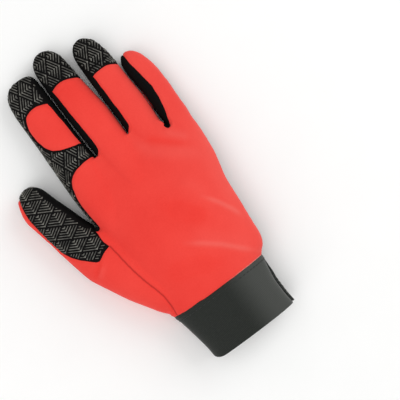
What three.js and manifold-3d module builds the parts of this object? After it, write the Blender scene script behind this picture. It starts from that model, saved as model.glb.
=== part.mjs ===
// Right-hand work glove lying palm down: X toward the little finger, Y to the fingertips, Z up, millimetres.
// The tables measure from the middle of the cuff's lower edge; the group is moved to its centre at the end.
import * as THREE from 'three';
import { mergeVertices } from 'three/addons/utils/BufferGeometryUtils.js';
import Module from 'manifold-3d';

const wasm = await Module();
wasm.setup();

// Driving sizes
const WALL = 1.5;
const SEAM_GAP = 0.3;
const FLOOR_Z = 0;
const SECTION_SQUARENESS = 2.35;
const HAND_SIDES = 28;
const FINGER_SIDES = 14;
const THUMB_SIDES = 14;
const HOLLOW_SIDES_SHARE = 0.5;
const CUFF_CORNER_X = -22;
const CUFF_CORNER_RISE = 4.5;
const CUFF_CORNER_REACH = 9;
const CAVITY_FLOOR_Z = 1.45;
const WRIST_OPEN_Y = -6;
const CAVITY_FLOOR_FROM_Y = 8;
const FINGERTIP_TAPER = 24;
const FINGERTIP_END = 2;
const REACH = 300;

// Limb tables: section at y, from xl to xr across and from zb to zt high
const hand = {
  sides: HAND_SIDES,
  rows: [
    { y: 0, xl: -31.0, xr: 36.6, zb: 3.7, zt: 31.2 },
    { y: 9, xl: -31.4, xr: 36.0, zb: 3.7, zt: 31.7 },
    { y: 19, xl: -32.7, xr: 35.8, zb: 3.7, zt: 32.1 },
    { y: 37, xl: -35.7, xr: 38.6, zb: 3.4, zt: 33.4 },
    { y: 42, xl: -37.2, xr: 39.8, zb: 2.6, zt: 34.2 },
    { y: 47, xl: -38.0, xr: 44.6, zb: 0.8, zt: 35.0 },
    { y: 54, xl: -38.0, xr: 47.2, zb: -0.4, zt: 35.8 },
    { y: 66, xl: -38.8, xr: 48.4, zb: -1.1, zt: 36.2 },
    { y: 82, xl: -41.4, xr: 49.9, zb: -1.3, zt: 36.0 },
    { y: 98, xl: -43.2, xr: 51.6, zb: -1.3, zt: 35.2 },
    { y: 110, xl: -43.7, xr: 54.5, zb: -1.3, zt: 33.6 },
    { y: 122, xl: -43.9, xr: 56.9, zb: -1.3, zt: 31.0 },
    { y: 135, xl: -43.8, xr: 58.1, zb: -1.3, zt: 27.4 },
    { y: 150, xl: -43.3, xr: 58.8, zb: -0.9, zt: 22.4 },
    { y: 166, xl: -42.4, xr: 59.2, zb: 0.8, zt: 17.6 },
  ],
};
const indexFinger = {
  sides: FINGER_SIDES,
  sparse: true,
  rows: [
    { y: 116, xl: -41.0, xr: -15.0, zb: 1.0, zt: 28.0 },
    { y: 134, xl: -43.4, xr: -13.2, zb: -1.2, zt: 27.8 },
    { y: 150, xl: -43.9, xr: -12.7, zb: -1.1, zt: 25.6 },
    { y: 166, xl: -43.6, xr: -13.6, zb: -1.0, zt: 22.6 },
    { y: 180, xl: -43.2, xr: -14.3, zb: -0.9, zt: 21.2 },
    { y: 200, xl: -42.5, xr: -14.5, zb: -0.8, zt: 20.0 },
    { y: 224, xl: -42.0, xr: -14.5, zb: -0.6, zt: 18.4 },
    { y: 235, xl: -40.2, xr: -14.6, zb: 0.2, zt: 16.6 },
    { y: 239.4, xl: -37.0, xr: -15.8, zb: 1.4, zt: 15.0 },
    { y: 242.2, xl: -33.2, xr: -18.8, zb: 3.4, zt: 12.8 },
    { y: 243.3, xl: -29.0, xr: -22.8, zb: 6.2, zt: 10.0 },
  ],
};
const middleFinger = {
  sides: FINGER_SIDES,
  sparse: true,
  rows: [
    { y: 116, xl: -13.6, xr: 15.6, zb: 1.0, zt: 29.0 },
    { y: 134, xl: -13.0, xr: 15.3, zb: -1.2, zt: 29.2 },
    { y: 150, xl: -12.3, xr: 14.9, zb: -1.1, zt: 27.0 },
    { y: 166, xl: -12.6, xr: 14.5, zb: -1.0, zt: 23.4 },
    { y: 177, xl: -13.1, xr: 14.7, zb: -0.9, zt: 21.8 },
    { y: 190, xl: -13.5, xr: 14.7, zb: -0.8, zt: 21.0 },
    { y: 201, xl: -13.7, xr: 13.5, zb: -0.7, zt: 20.2 },
    { y: 217, xl: -13.7, xr: 11.7, zb: -0.6, zt: 18.9 },
    { y: 236, xl: -13.4, xr: 10.2, zb: 0.0, zt: 16.6 },
    { y: 242.4, xl: -12.3, xr: 8.8, zb: 1.2, zt: 15.0 },
    { y: 246.6, xl: -9.8, xr: 5.8, zb: 3.0, zt: 13.0 },
    { y: 248.9, xl: -6.2, xr: 2.4, zb: 5.2, zt: 10.8 },
    { y: 249.7, xl: -3.6, xr: -0.2, zb: 7.2, zt: 9.0 },
  ],
};
const ringFinger = {
  sides: FINGER_SIDES,
  sparse: true,
  rows: [
    { y: 116, xl: 15.4, xr: 40.2, zb: 1.0, zt: 27.6 },
    { y: 134, xl: 15.4, xr: 40.2, zb: -1.2, zt: 27.2 },
    { y: 147, xl: 15.5, xr: 39.5, zb: -1.1, zt: 25.4 },
    { y: 158, xl: 15.6, xr: 39.0, zb: -1.0, zt: 23.4 },
    { y: 167, xl: 15.7, xr: 39.4, zb: -0.9, zt: 22.2 },
    { y: 181, xl: 15.8, xr: 40.2, zb: -0.8, zt: 21.2 },
    { y: 200, xl: 15.2, xr: 39.3, zb: -0.6, zt: 19.8 },
    { y: 218, xl: 15.2, xr: 38.8, zb: -0.5, zt: 18.2 },
    { y: 231, xl: 16.0, xr: 36.7, zb: 0.3, zt: 16.2 },
    { y: 235.8, xl: 17.8, xr: 34.2, zb: 1.6, zt: 14.6 },
    { y: 239.2, xl: 20.6, xr: 30.7, zb: 3.6, zt: 12.4 },
    { y: 240.7, xl: 23.8, xr: 27.6, zb: 6.4, zt: 9.8 },
  ],
};
const littleFinger = {
  sides: FINGER_SIDES,
  sparse: true,
  rows: [
    { y: 112, xl: 38.0, xr: 53.6, zb: 1.0, zt: 26.0 },
    { y: 130, xl: 40.2, xr: 57.6, zb: -1.2, zt: 25.0 },
    { y: 146, xl: 41.0, xr: 58.6, zb: -1.1, zt: 22.8 },
    { y: 170, xl: 41.4, xr: 59.9, zb: -0.9, zt: 19.6 },
    { y: 183, xl: 41.6, xr: 60.2, zb: -0.7, zt: 18.6 },
    { y: 193, xl: 41.2, xr: 59.8, zb: -0.5, zt: 17.8 },
    { y: 200.5, xl: 40.8, xr: 58.4, zb: -0.2, zt: 17.0 },
    { y: 206.5, xl: 40.9, xr: 56.4, zb: 0.6, zt: 15.8 },
    { y: 210.6, xl: 42.0, xr: 53.6, zb: 2.0, zt: 14.2 },
    { y: 212.9, xl: 43.8, xr: 50.6, zb: 4.0, zt: 12.2 },
    { y: 213.7, xl: 45.8, xr: 48.4, zb: 6.4, zt: 9.8 },
  ],
};
const thumb = {
  sides: THUMB_SIDES,
  rows: [
    { y: 43.6, xl: -36.4, xr: -16.0, zb: 4.4, zt: 26.0 },
    { y: 50, xl: -42.3, xr: -14.0, zb: 0.6, zt: 28.6 },
    { y: 60, xl: -48.9, xr: -15.0, zb: -0.6, zt: 30.2 },
    { y: 80, xl: -60.5, xr: -22.0, zb: -1.2, zt: 30.0 },
    { y: 100, xl: -69.9, xr: -23.5, zb: -1.2, zt: 28.4 },
    { y: 110, xl: -72.4, xr: -28.0, zb: -1.2, zt: 27.2 },
    { y: 120, xl: -74.2, xr: -36.6, zb: -1.2, zt: 26.0 },
    { y: 130, xl: -75.9, xr: -44.6, zb: -1.2, zt: 24.6 },
    { y: 150, xl: -80.1, xr: -51.4, zb: -1.0, zt: 23.0 },
    { y: 160, xl: -81.4, xr: -54.8, zb: -0.8, zt: 22.0 },
    { y: 172, xl: -78.8, xr: -58.7, zb: 0.6, zt: 19.2 },
    { y: 175.8, xl: -75.4, xr: -61.9, zb: 2.6, zt: 17.0 },
    { y: 177.8, xl: -71.6, xr: -65.2, zb: 5.2, zt: 14.2 },
    { y: 178.4, xl: -69.4, xr: -67.4, zb: 7.8, zt: 11.4 },
  ],
};
const limbs = [hand, indexFinger, middleFinger, ringFinger, littleFinger, thumb];

// Seam lines seen from above and from below, as x and y on the surface
const thumbBackSeam = [
  [-33.7, 38], [-33.9, 46], [-33.5, 53], [-32.8, 57.5], [-36.4, 71], [-39.0, 82], [-41.3, 98],
  [-42.7, 110.4],
];
const indexBaseSeam = [
  [-42.1, 138.5], [-41.7, 146], [-41.0, 153], [-39.8, 158], [-37.4, 162.6], [-34.0, 165.6],
  [-29.0, 167.5], [-20.0, 168.5], [-14.5, 168.2],
];
const indexPatchSeam = [
  [-16.2, 217.6], [-18.8, 218.1], [-23.0, 220.2], [-28.3, 221.2], [-33.3, 220.3], [-37.0, 217.6],
  [-39.2, 213.2], [-40.2, 207.0], [-40.1, 200.6], [-38.8, 193.6], [-35.8, 188.4], [-30.8, 185.4],
  [-24.6, 183.2], [-19.4, 181.5], [-15.0, 180.9],
];
const thumbPrintSeam = [
  [-75.2, 175.6], [-76.3, 172.6], [-77.3, 166], [-77.7, 157], [-77.2, 147], [-75.6, 136], [-73.6, 126.6],
  [-70.2, 119.6], [-65.8, 114.6], [-60.8, 109.6], [-57.2, 106.4], [-55.0, 105.2], [-52.5, 106.7],
  [-48.4, 108.9], [-42.9, 110.2],
];
const thumbLowSeam = [
  [-75.2, 175.6], [-77.4, 172], [-79.4, 167], [-80.2, 160], [-78.6, 150], [-74.7, 130],
  [-70.4, 110], [-66.9, 100], [-61.8, 91], [-55.2, 81], [-48.2, 71], [-41.6, 61],
  [-35.4, 52.5], [-30.4, 46], [-26.6, 38],
];

// Seams cut straight down: x, y and the heights between which they cut
const cuffSeam = [
  { x: -70, y: 44.5, low: -4, high: 44 }, { x: -37, y: 42.3, low: -4, high: 44 },
  { x: -20, y: 41.2, low: -4, high: 44 }, { x: 5, y: 40.5, low: -4, high: 44 },
  { x: 24, y: 40.5, low: -4, high: 44 }, { x: 40, y: 41.0, low: -4, high: 44 },
  { x: 56, y: 42, low: -4, high: 44 },
];
const thumbRootTop = [
  { x: -42.5, y: 108.8, low: 15, high: 40 }, { x: -44.5, y: 114, low: 11, high: 40 },
  { x: -44.6, y: 124, low: 9, high: 40 }, { x: -44.5, y: 133.5, low: 9, high: 40 },
];
const thumbRootBelow = [
  { x: -44.5, y: 133.5, low: -3, high: 10.5 }, { x: -44.6, y: 126, low: -3, high: 10.5 },
  { x: -48.0, y: 117, low: -3, high: 8 }, { x: -55.0, y: 110, low: -3, high: 8 },
  { x: -62.0, y: 105.5, low: -3, high: 8 }, { x: -68.2, y: 102.2, low: -3, high: 9 },
];
const middleCapSeam = [
  { x: -14.2, y: 222.0, low: 17.4, high: 26 }, { x: -10.8, y: 222.4, low: 15.2, high: 26 },
  { x: -10, y: 222.6, low: 12.5, high: 26 },
  { x: -5.5, y: 223.9, low: 11, high: 26 }, { x: 0, y: 224.1, low: 10, high: 26 },
  { x: 5, y: 222.8, low: 9.2, high: 26 }, { x: 9.4, y: 220.3, low: 8.4, high: 26 },
  { x: 12.6, y: 217.6, low: 8.2, high: 26 },
];
const ringCapSeam = [
  { x: 14.4, y: 213.0, low: 18.2, high: 26 }, { x: 18.8, y: 213.6, low: 16.2, high: 26 },
  { x: 19.8, y: 213.8, low: 13.2, high: 26 },
  { x: 24, y: 214.7, low: 12, high: 26 }, { x: 28.3, y: 214.9, low: 11, high: 26 },
  { x: 32.5, y: 214.0, low: 10, high: 26 }, { x: 36, y: 212.2, low: 9, high: 26 },
  { x: 39.9, y: 209.8, low: 8.4, high: 26 },
];
const littleBackSeam = [
  { x: 39.9, y: 157.4, low: 12.6, high: 32 }, { x: 38.5, y: 155.4, low: 12.6, high: 32 },
  { x: 38.3, y: 153.4, low: 12.6, high: 32 }, { x: 39.2, y: 151.8, low: 12.6, high: 32 },
  { x: 40.6, y: 151.3, low: 12.6, high: 32 }, { x: 42.3, y: 152.2, low: 12.6, high: 32 },
  { x: 43.6, y: 154.6, low: 12.6, high: 32 }, { x: 44.8, y: 159, low: 12.6, high: 32 },
  { x: 46.2, y: 165, low: 11, high: 30 }, { x: 47.6, y: 171, low: 9, high: 30 },
  { x: 48.5, y: 177, low: 7.5, high: 30 }, { x: 48.8, y: 183, low: 6, high: 30 },
  { x: 48.0, y: 190, low: 5.4, high: 30 }, { x: 47.1, y: 197, low: 5.4, high: 30 },
  { x: 46.2, y: 203, low: 5.4, high: 30 }, { x: 45.8, y: 216, low: 5.4, high: 30 },
];
const stripEnds = [
  [{ x: -24.0, y: 237, low: 4.4, high: 13.2 }, { x: -14.2, y: 237, low: 4.4, high: 13.2 }],
  [{ x: -14.2, y: 240, low: 4.4, high: 10.0 }, { x: -5.0, y: 240, low: 4.3, high: 9.4 }],
  [{ x: 14.2, y: 231, low: 4.4, high: 10.6 }, { x: 24.0, y: 231, low: 4.2, high: 10.2 }],
  [{ x: -77.2, y: 177.2, low: 5.5, high: 13.5 }, { x: -72.0, y: 172.6, low: 5.5, high: 13.5 }],
];

// Seam sheets lying through the fingers: from xl to xr at y, at height zl on the left and zr on the right
const seamSheets = [
  [
    { y: 112, xl: -45.6, xr: -37, zl: 22.0, zr: 20.4 }, { y: 126, xl: -45.2, xr: -37, zl: 21.6, zr: 20 },
    { y: 139, xl: -45.2, xr: -37, zl: 21.6, zr: 18.8 }, { y: 150, xl: -45.2, xr: -37, zl: 20.2, zr: 16.5 },
  ],
  [
    { y: 140, xl: -26, xr: -10, zl: 16, zr: 16 }, { y: 167, xl: -26, xr: -10, zl: 16, zr: 16 },
    { y: 168.5, xl: -26, xr: -13.2, zl: 16, zr: 16 }, { y: 180, xl: -26, xr: -13.7, zl: 16.1, zr: 16.1 },
    { y: 200, xl: -26, xr: -14.0, zl: 16.2, zr: 16.2 }, { y: 218, xl: -26, xr: -14.1, zl: 16.1, zr: 16.1 },
    { y: 230, xl: -25, xr: -14.1, zl: 14.8, zr: 14.8 }, { y: 237.2, xl: -24, xr: -14.2, zl: 12.9, zr: 12.9 },
  ],
  [
    { y: 140, xl: -26, xr: -10, zl: 7, zr: 7 }, { y: 167, xl: -26, xr: -10, zl: 7, zr: 7 },
    { y: 168.5, xl: -26, xr: -13.2, zl: 6.8, zr: 6.8 }, { y: 180, xl: -26, xr: -13.7, zl: 5.4, zr: 5.4 },
    { y: 220, xl: -26, xr: -14.1, zl: 4.8, zr: 4.8 }, { y: 237.2, xl: -22, xr: -14.2, zl: 4.6, zr: 4.6 },
  ],
  [
    { y: 140, xl: -14, xr: 17, zl: 16, zr: 14 }, { y: 166.2, xl: -14, xr: 17, zl: 16, zr: 14 },
    { y: 167.6, xl: -13.1, xr: 15.1, zl: 19.5, zr: 13.6 },
    { y: 169.4, xl: -13.2, xr: 15.1, zl: 22, zr: 12.6 }, { y: 178, xl: -13.7, xr: 15.3, zl: 21.5, zr: 10.4 },
    { y: 188, xl: -13.9, xr: 15.2, zl: 20.8, zr: 9.2 }, { y: 201, xl: -14.1, xr: 14.2, zl: 19.6, zr: 8.8 },
    { y: 217, xl: -14.1, xr: 13, zl: 18.2, zr: 8.4 }, { y: 226, xl: -14.1, xr: 12, zl: 16, zr: 8 },
    { y: 238, xl: -13.9, xr: 12, zl: 9.8, zr: 7.8 }, { y: 254, xl: -13.9, xr: 12, zl: 8.4, zr: 8.0 },
  ],
  [
    { y: 140, xl: -14, xr: 17, zl: 7, zr: 6.5 }, { y: 167, xl: -14, xr: 17, zl: 7, zr: 6.5 },
    { y: 168.5, xl: -13.2, xr: 15.1, zl: 7.2, zr: 6 }, { y: 180, xl: -13.7, xr: 15.3, zl: 7.6, zr: 4.4 },
    { y: 201, xl: -14.1, xr: 14.2, zl: 7.2, zr: 4.2 }, { y: 222, xl: -14.1, xr: 12.6, zl: 6.2, zr: 4.2 },
    { y: 238, xl: -13.9, xr: 12, zl: 4.8, zr: 4.4 }, { y: 254, xl: -13.9, xr: 12, zl: 4.8, zr: 4.8 },
  ],
  [
    { y: 140, xl: 13, xr: 45.0, zl: 14, zr: 13 }, { y: 156.4, xl: 13, xr: 45.0, zl: 14, zr: 13 },
    { y: 157.2, xl: 13, xr: 40.1, zl: 14, zr: 12.8 }, { y: 167, xl: 13, xr: 40.3, zl: 14, zr: 11.4 },
    { y: 168.2, xl: 15.1, xr: 40.3, zl: 18.4, zr: 11.2 }, { y: 169.8, xl: 15.1, xr: 40.4, zl: 21.1, zr: 11 },
    { y: 178, xl: 15.3, xr: 40.8, zl: 20.6, zr: 9.8 },
    { y: 187, xl: 15.2, xr: 40.7, zl: 20.3, zr: 9.2 }, { y: 200, xl: 14.6, xr: 40.0, zl: 19.9, zr: 8.8 },
    { y: 213, xl: 14.4, xr: 40.2, zl: 18.8, zr: 8.4 }, { y: 223, xl: 14.4, xr: 40, zl: 14.6, zr: 8 },
    { y: 232, xl: 14.4, xr: 40, zl: 10, zr: 7.8 }, { y: 245, xl: 14.4, xr: 40, zl: 8.4, zr: 8 },
  ],
  [
    { y: 140, xl: 13, xr: 43.2, zl: 6.5, zr: 6 }, { y: 156, xl: 13, xr: 42.0, zl: 6.5, zr: 6 },
    { y: 158, xl: 13, xr: 40.1, zl: 6.5, zr: 6 }, { y: 167, xl: 13, xr: 40.3, zl: 6.5, zr: 5.4 },
    { y: 168.5, xl: 15.1, xr: 40.3, zl: 6.8, zr: 5.2 }, { y: 180, xl: 15.3, xr: 40.8, zl: 7.4, zr: 4.4 },
    { y: 200, xl: 14.6, xr: 40.0, zl: 7, zr: 4.2 }, { y: 216, xl: 14.4, xr: 40.2, zl: 6, zr: 4.2 },
    { y: 232, xl: 14.4, xr: 40, zl: 4.8, zr: 4.4 }, { y: 245, xl: 14.4, xr: 40, zl: 4.8, zr: 4.8 },
  ],
  [
    { y: 36, xl: 28, xr: 66, zl: 14, zr: 14 }, { y: 60, xl: 34, xr: 66, zl: 13, zr: 13 },
    { y: 100, xl: 38, xr: 66, zl: 11.6, zr: 11.6 }, { y: 130, xl: 42, xr: 66, zl: 8, zr: 9 },
    { y: 140, xl: 37, xr: 66, zl: 6, zr: 8 }, { y: 156, xl: 37, xr: 66, zl: 6, zr: 7.4 },
    { y: 158, xl: 40.2, xr: 66, zl: 6, zr: 7.2 }, { y: 178, xl: 40.9, xr: 66, zl: 6, zr: 6.8 },
    { y: 202, xl: 40.1, xr: 66, zl: 5.8, zr: 6.6 }, { y: 220, xl: 40.4, xr: 66, zl: 5.8, zr: 6.4 },
  ],
];

// Strap on the palm side of the cuff: layers measured out from the cuff's surface
const STRAP = { fromX: -24.6, toX: 31.6, lowY: 0.6, highY: 40.0, roundness: 19.0, cutTop: 15 };
const BACKING = { inner: 0.3, outer: 1.5 };
const RIM = { inner: 1.8, outer: 3.6, width: 3.2 };
const FIELD = { inner: 1.8, outer: 2.9, inset: 4.4 };
const ANCHOR = { fromX: 33.2, toX: 38.6, lowY: 0.6, highY: 40.0, inner: 0.3, outer: 2.0, cutTop: 17 };
const STRAP_CORNER = 3;

// Leather and cloth, as they look: colour, roughness, metalness
const finishes = {
  red: { color: 0xef4a42, roughness: 0.85, metalness: 0 },
  print: { color: 0x23211f, roughness: 0.7, metalness: 0 },
  side: { color: 0x0b0b0b, roughness: 0.8, metalness: 0 },
  elastic: { color: 0x3c3f3c, roughness: 0.9, metalness: 0 },
  webbing: { color: 0x1d1d1c, roughness: 0.9, metalness: 0 },
  rim: { color: 0x75716c, roughness: 0.5, metalness: 0 },
  field: { color: 0x66645f, roughness: 0.25, metalness: 0 },
  anchor: { color: 0x2a2b29, roughness: 0.85, metalness: 0 },
};

function toSolid(geometry) {
  const plain = geometry.clone();
  plain.deleteAttribute('normal');
  plain.deleteAttribute('uv');
  const merged = mergeVertices(plain, 1e-4);
  const vertProperties = new Float32Array(merged.attributes.position.array);
  const triVerts = new Uint32Array(merged.index.array);
  return new wasm.Manifold(new wasm.Mesh({ numProp: 3, vertProperties, triVerts }));
}

function ramp(value, from, to) {
  const t = Math.min(1, Math.max(0, (value - from) / (to - from)));
  return t * t * (3 - 2 * t);
}

// A point of the superellipse section of a row, moved out from the surface by grow
function sectionPoint(row, angle, grow) {
  const power = 2 / SECTION_SQUARENESS;
  const c = Math.cos(angle);
  const s = Math.sin(angle);
  const halfX = Math.max(0.8, (row.xr - row.xl) / 2 + grow);
  const halfZ = Math.max(0.6, (row.zt - row.zb) / 2 + grow);
  const x = (row.xl + row.xr) / 2 + halfX * Math.sign(c) * Math.abs(c) ** power;
  const z = (row.zb + row.zt) / 2 + halfZ * Math.sign(s) * Math.abs(s) ** power;
  return { x, z };
}

// A closed limb from its table; a negative grow gives the hollow, opened at the wrist
function limbSolid(limb, grow) {
  const hollow = grow < 0;
  const full = limb.rows.length - 1;
  const everySecond = limb.rows.filter((row, i) => i === 0 || i % 2 === full % 2);
  const rows = hollow && limb.sparse ? everySecond : limb.rows;
  const last = rows.length - 1;
  const tip = rows[last].y;
  const sides = hollow ? Math.round(limb.sides * HOLLOW_SIDES_SHARE) : limb.sides;
  const geometry = new THREE.CylinderGeometry(1, 1, 1, sides, last, false);
  const at = geometry.attributes.position;
  for (let i = 0; i < at.count; i += 1) {
    const step = Math.round((at.getY(i) + 0.5) * last);
    const reach = Math.hypot(at.getX(i), at.getZ(i));
    const angle = Math.atan2(at.getZ(i), at.getX(i));
    const row = rows[step];
    const edge = sectionPoint(row, angle, grow);
    const x = THREE.MathUtils.lerp((row.xl + row.xr) / 2, edge.x, reach);
    const z = THREE.MathUtils.lerp((row.zb + row.zt) / 2, edge.z, reach);
    let y = row.y + grow * ramp(row.y, tip - FINGERTIP_TAPER, tip - FINGERTIP_END);
    if (limb === hand && step === 0) {
      const corner = Math.max(0, CUFF_CORNER_X - x) / CUFF_CORNER_REACH;
      y = hollow ? WRIST_OPEN_Y : y + CUFF_CORNER_RISE * corner * corner;
    }
    at.setXYZ(i, x, y, z);
  }
  const solid = toSolid(geometry);
  return limb === hand ? solid.subtract(prism(littleCrotch(grow), -REACH, REACH)) : solid;
}

// The space between ring and little finger reaches lower than the other two
const crotch = [
  { x: 37.2, y: 172 }, { x: 38.6, y: 158 }, { x: 39.6, y: 153.4 }, { x: 41.2, y: 152 }, { x: 70, y: 152 },
];
function littleCrotch(grow) {
  const shape = new THREE.Shape();
  crotch.forEach((p, i) => {
    if (i === 0) {
      shape.moveTo(p.x + grow, p.y);
    } else {
      shape.lineTo(p.x + grow, p.y + grow);
    }
  });
  shape.lineTo(crotch[crotch.length - 1].x + grow, crotch[0].y);
  return shape;
}

function boxSolid(x0, x1, y0, y1, z0, z1) {
  const geometry = new THREE.BoxGeometry(x1 - x0, y1 - y0, z1 - z0);
  geometry.translate((x0 + x1) / 2, (y0 + y1) / 2, (z0 + z1) / 2);
  return toSolid(geometry);
}

function union(solids) {
  return solids.reduce((all, next) => all.add(next));
}

// A thin sheet through the given lines, each line running from a to b
function sheetSolid(lines) {
  const last = lines.length - 1;
  const geometry = new THREE.BoxGeometry(1, 1, 1, last, 1, 1);
  const at = geometry.attributes.position;
  for (let i = 0; i < at.count; i += 1) {
    const step = Math.round((at.getX(i) + 0.5) * last);
    const before = lines[Math.max(0, step - 1)];
    const after = lines[Math.min(last, step + 1)];
    const along = after.a.clone().add(after.b).sub(before.a).sub(before.b);
    const across = lines[step].b.clone().sub(lines[step].a);
    const side = along.cross(across).normalize();
    const point = lines[step].a.clone().lerp(lines[step].b, at.getY(i) + 0.5);
    point.addScaledVector(side, at.getZ(i) * SEAM_GAP);
    at.setXYZ(i, point.x, point.y, point.z);
  }
  // Both broad faces are split along the same diagonal, so that a twisted sheet keeps its thickness
  const index = geometry.index;
  const lower = geometry.groups[5];
  for (let i = lower.start; i < lower.start + lower.count; i += 6) {
    const [a, b, c, d] = [index.getX(i), index.getX(i + 1), index.getX(i + 4), index.getX(i + 2)];
    [a, b, c, a, c, d].forEach((vertex, k) => index.setX(i + k, vertex));
  }
  const solid = toSolid(geometry);
  if (solid.volume() > 0) {
    return solid;
  }
  for (let i = 0; i < index.count; i += 3) {
    const second = index.getX(i + 1);
    index.setX(i + 1, index.getX(i + 2));
    index.setX(i + 2, second);
  }
  return toSolid(geometry);
}

function curtain(points) {
  return sheetSolid(points.map((p) => ({
    a: new THREE.Vector3(p.x, p.y, p.low),
    b: new THREE.Vector3(p.x, p.y, p.high),
  })));
}

function fingerSheet(rows) {
  return sheetSolid(rows.map((r) => ({
    a: new THREE.Vector3(r.xl, r.y, r.zl),
    b: new THREE.Vector3(r.xr, r.y, r.zr),
  })));
}

function toGeometry(mesh) {
  const geometry = new THREE.BufferGeometry();
  geometry.setAttribute('position', new THREE.BufferAttribute(new Float32Array(mesh.vertProperties), 3));
  geometry.setIndex(new THREE.BufferAttribute(new Uint32Array(mesh.triVerts), 1));
  return geometry;
}

// Where a line straight down (or up) meets the glove, with the surface's direction smoothed over a patch
const PROBE_SPREAD = 1.3;
const PROBE_FAR = 200;
function probe(target, x, y, fromAbove) {
  const down = new THREE.Vector3(0, 0, fromAbove ? -1 : 1);
  const caster = new THREE.Raycaster();
  const normal = new THREE.Vector3();
  let point = null;
  for (const [dx, dy] of [[0, 0], [1, 0], [-1, 0], [0, 1], [0, -1]]) {
    const height = fromAbove ? PROBE_FAR : -PROBE_FAR;
    const from = new THREE.Vector3(x + dx * PROBE_SPREAD, y + dy * PROBE_SPREAD, height);
    caster.set(from, down);
    const hits = caster.intersectObject(target);
    if (hits.length > 0) {
      normal.add(hits[0].face.normal);
      if (dx === 0 && dy === 0) {
        point = hits[0].point.clone();
      }
    }
  }
  return { point, normal: normal.normalize() };
}

// A seam along a line on the surface, cutting square to it through the wall
const SEAM_IN = 5.0;
const SEAM_OUT = 1.4;
const SEAM_END = 0.5;
function surfaceSeam(target, path, fromAbove) {
  const stations = path.map(([x, y]) => probe(target, x, y, fromAbove)).filter((s) => s.point !== null);
  const first = stations[0];
  const second = stations[1];
  const final = stations[stations.length - 1];
  const previous = stations[stations.length - 2];
  first.point.add(first.point.clone().sub(second.point).setLength(SEAM_END));
  final.point.add(final.point.clone().sub(previous.point).setLength(SEAM_END));
  return sheetSolid(stations.map((s) => ({
    a: s.point.clone().addScaledVector(s.normal, -SEAM_IN),
    b: s.point.clone().addScaledVector(s.normal, SEAM_OUT),
  })));
}

// Separate bodies of a solid, each as an index list over the shared vertices
function bodiesOf(mesh) {
  const parent = Int32Array.from({ length: mesh.vertProperties.length / 3 }, (unused, i) => i);
  const root = (i) => {
    let at = i;
    while (parent[at] !== at) {
      parent[at] = parent[parent[at]];
      at = parent[at];
    }
    return at;
  };
  const tris = mesh.triVerts;
  for (let i = 0; i < tris.length; i += 3) {
    parent[root(tris[i + 1])] = root(tris[i]);
    parent[root(tris[i + 2])] = root(tris[i]);
  }
  const groups = new Map();
  for (let i = 0; i < tris.length; i += 3) {
    const key = root(tris[i]);
    if (!groups.has(key)) {
      groups.set(key, []);
    }
    groups.get(key).push(tris[i], tris[i + 1], tris[i + 2]);
  }
  return [...groups.values()];
}

function bodySolid(mesh, indices) {
  const used = new Map();
  const vertProperties = [];
  const triVerts = indices.map((i) => {
    if (!used.has(i)) {
      used.set(i, used.size);
      vertProperties.push(...mesh.vertProperties.slice(i * 3, i * 3 + 3));
    }
    return used.get(i);
  });
  return new wasm.Manifold(new wasm.Mesh({
    numProp: 3,
    vertProperties: new Float32Array(vertProperties),
    triVerts: new Uint32Array(triVerts),
  }));
}

// Glove shell: outer form less the hollow, flattened where it lies on the floor
const belowFloor = boxSolid(-REACH, REACH, -REACH, REACH, -REACH, FLOOR_Z);
const belowCavity = boxSolid(-REACH, REACH, CAVITY_FLOOR_FROM_Y, REACH, -REACH, CAVITY_FLOOR_Z);
const outerForm = union(limbs.map((limb) => limbSolid(limb, 0))).subtract(belowFloor);
const cavity = union(limbs.map((limb) => limbSolid(limb, -WALL))).subtract(belowCavity);
const outerMesh = new THREE.Mesh(toGeometry(outerForm.getMesh()), new THREE.MeshStandardMaterial());

const seams = [
  surfaceSeam(outerMesh, thumbBackSeam, true),
  surfaceSeam(outerMesh, indexBaseSeam, true),
  surfaceSeam(outerMesh, indexPatchSeam, true),
  surfaceSeam(outerMesh, thumbPrintSeam, true),
  surfaceSeam(outerMesh, thumbLowSeam, false),
  curtain(cuffSeam),
  curtain(thumbRootTop),
  curtain(thumbRootBelow),
  curtain(middleCapSeam),
  curtain(ringCapSeam),
  curtain(littleBackSeam),
  ...stripEnds.map(curtain),
  ...seamSheets.map(fingerSheet),
];
const shell = outerForm.subtract(cavity);
const panelMesh = shell.subtract(union(seams)).getMesh();
const bodies = bodiesOf(panelMesh).map((indices) => bodySolid(panelMesh, indices));

// Each panel is the body of the shell that lies nearest to its place
const panelPlaces = {
  back_panel: { x: 5, y: 100, z: 35, finish: 'red' },
  index_back_patch: { x: -28, y: 203, z: 20, finish: 'red' },
  thumb_back_panel: { x: -50, y: 85, z: 28, finish: 'red' },
  palm_panel: { x: 5, y: 100, z: 0, finish: 'print' },
  thumb_palm_panel: { x: -66, y: 150, z: 22.5, finish: 'print' },
  middle_tip_cap: { x: -1, y: 236, z: 16.6, finish: 'print' },
  ring_tip_cap: { x: 27, y: 226, z: 17, finish: 'print' },
  fourchette_index_middle: { x: -12.7, y: 200, z: 10, finish: 'side' },
  fourchette_middle_ring: { x: 14.5, y: 190, z: 7.6, finish: 'side' },
  fourchette_ring_little: { x: 41.6, y: 183, z: 9, finish: 'side' },
  cuff: { x: 2, y: 20, z: 32, finish: 'elastic' },
};

function nearestBody(place) {
  let best = null;
  let bestDistance = Infinity;
  for (const body of bodies) {
    const points = body.getMesh().vertProperties;
    for (let i = 0; i < points.length; i += 3) {
      const distance = Math.hypot(points[i] - place.x, points[i + 1] - place.y, points[i + 2] - place.z);
      if (distance < bestDistance) {
        bestDistance = distance;
        best = body;
      }
    }
  }
  return best;
}

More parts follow.
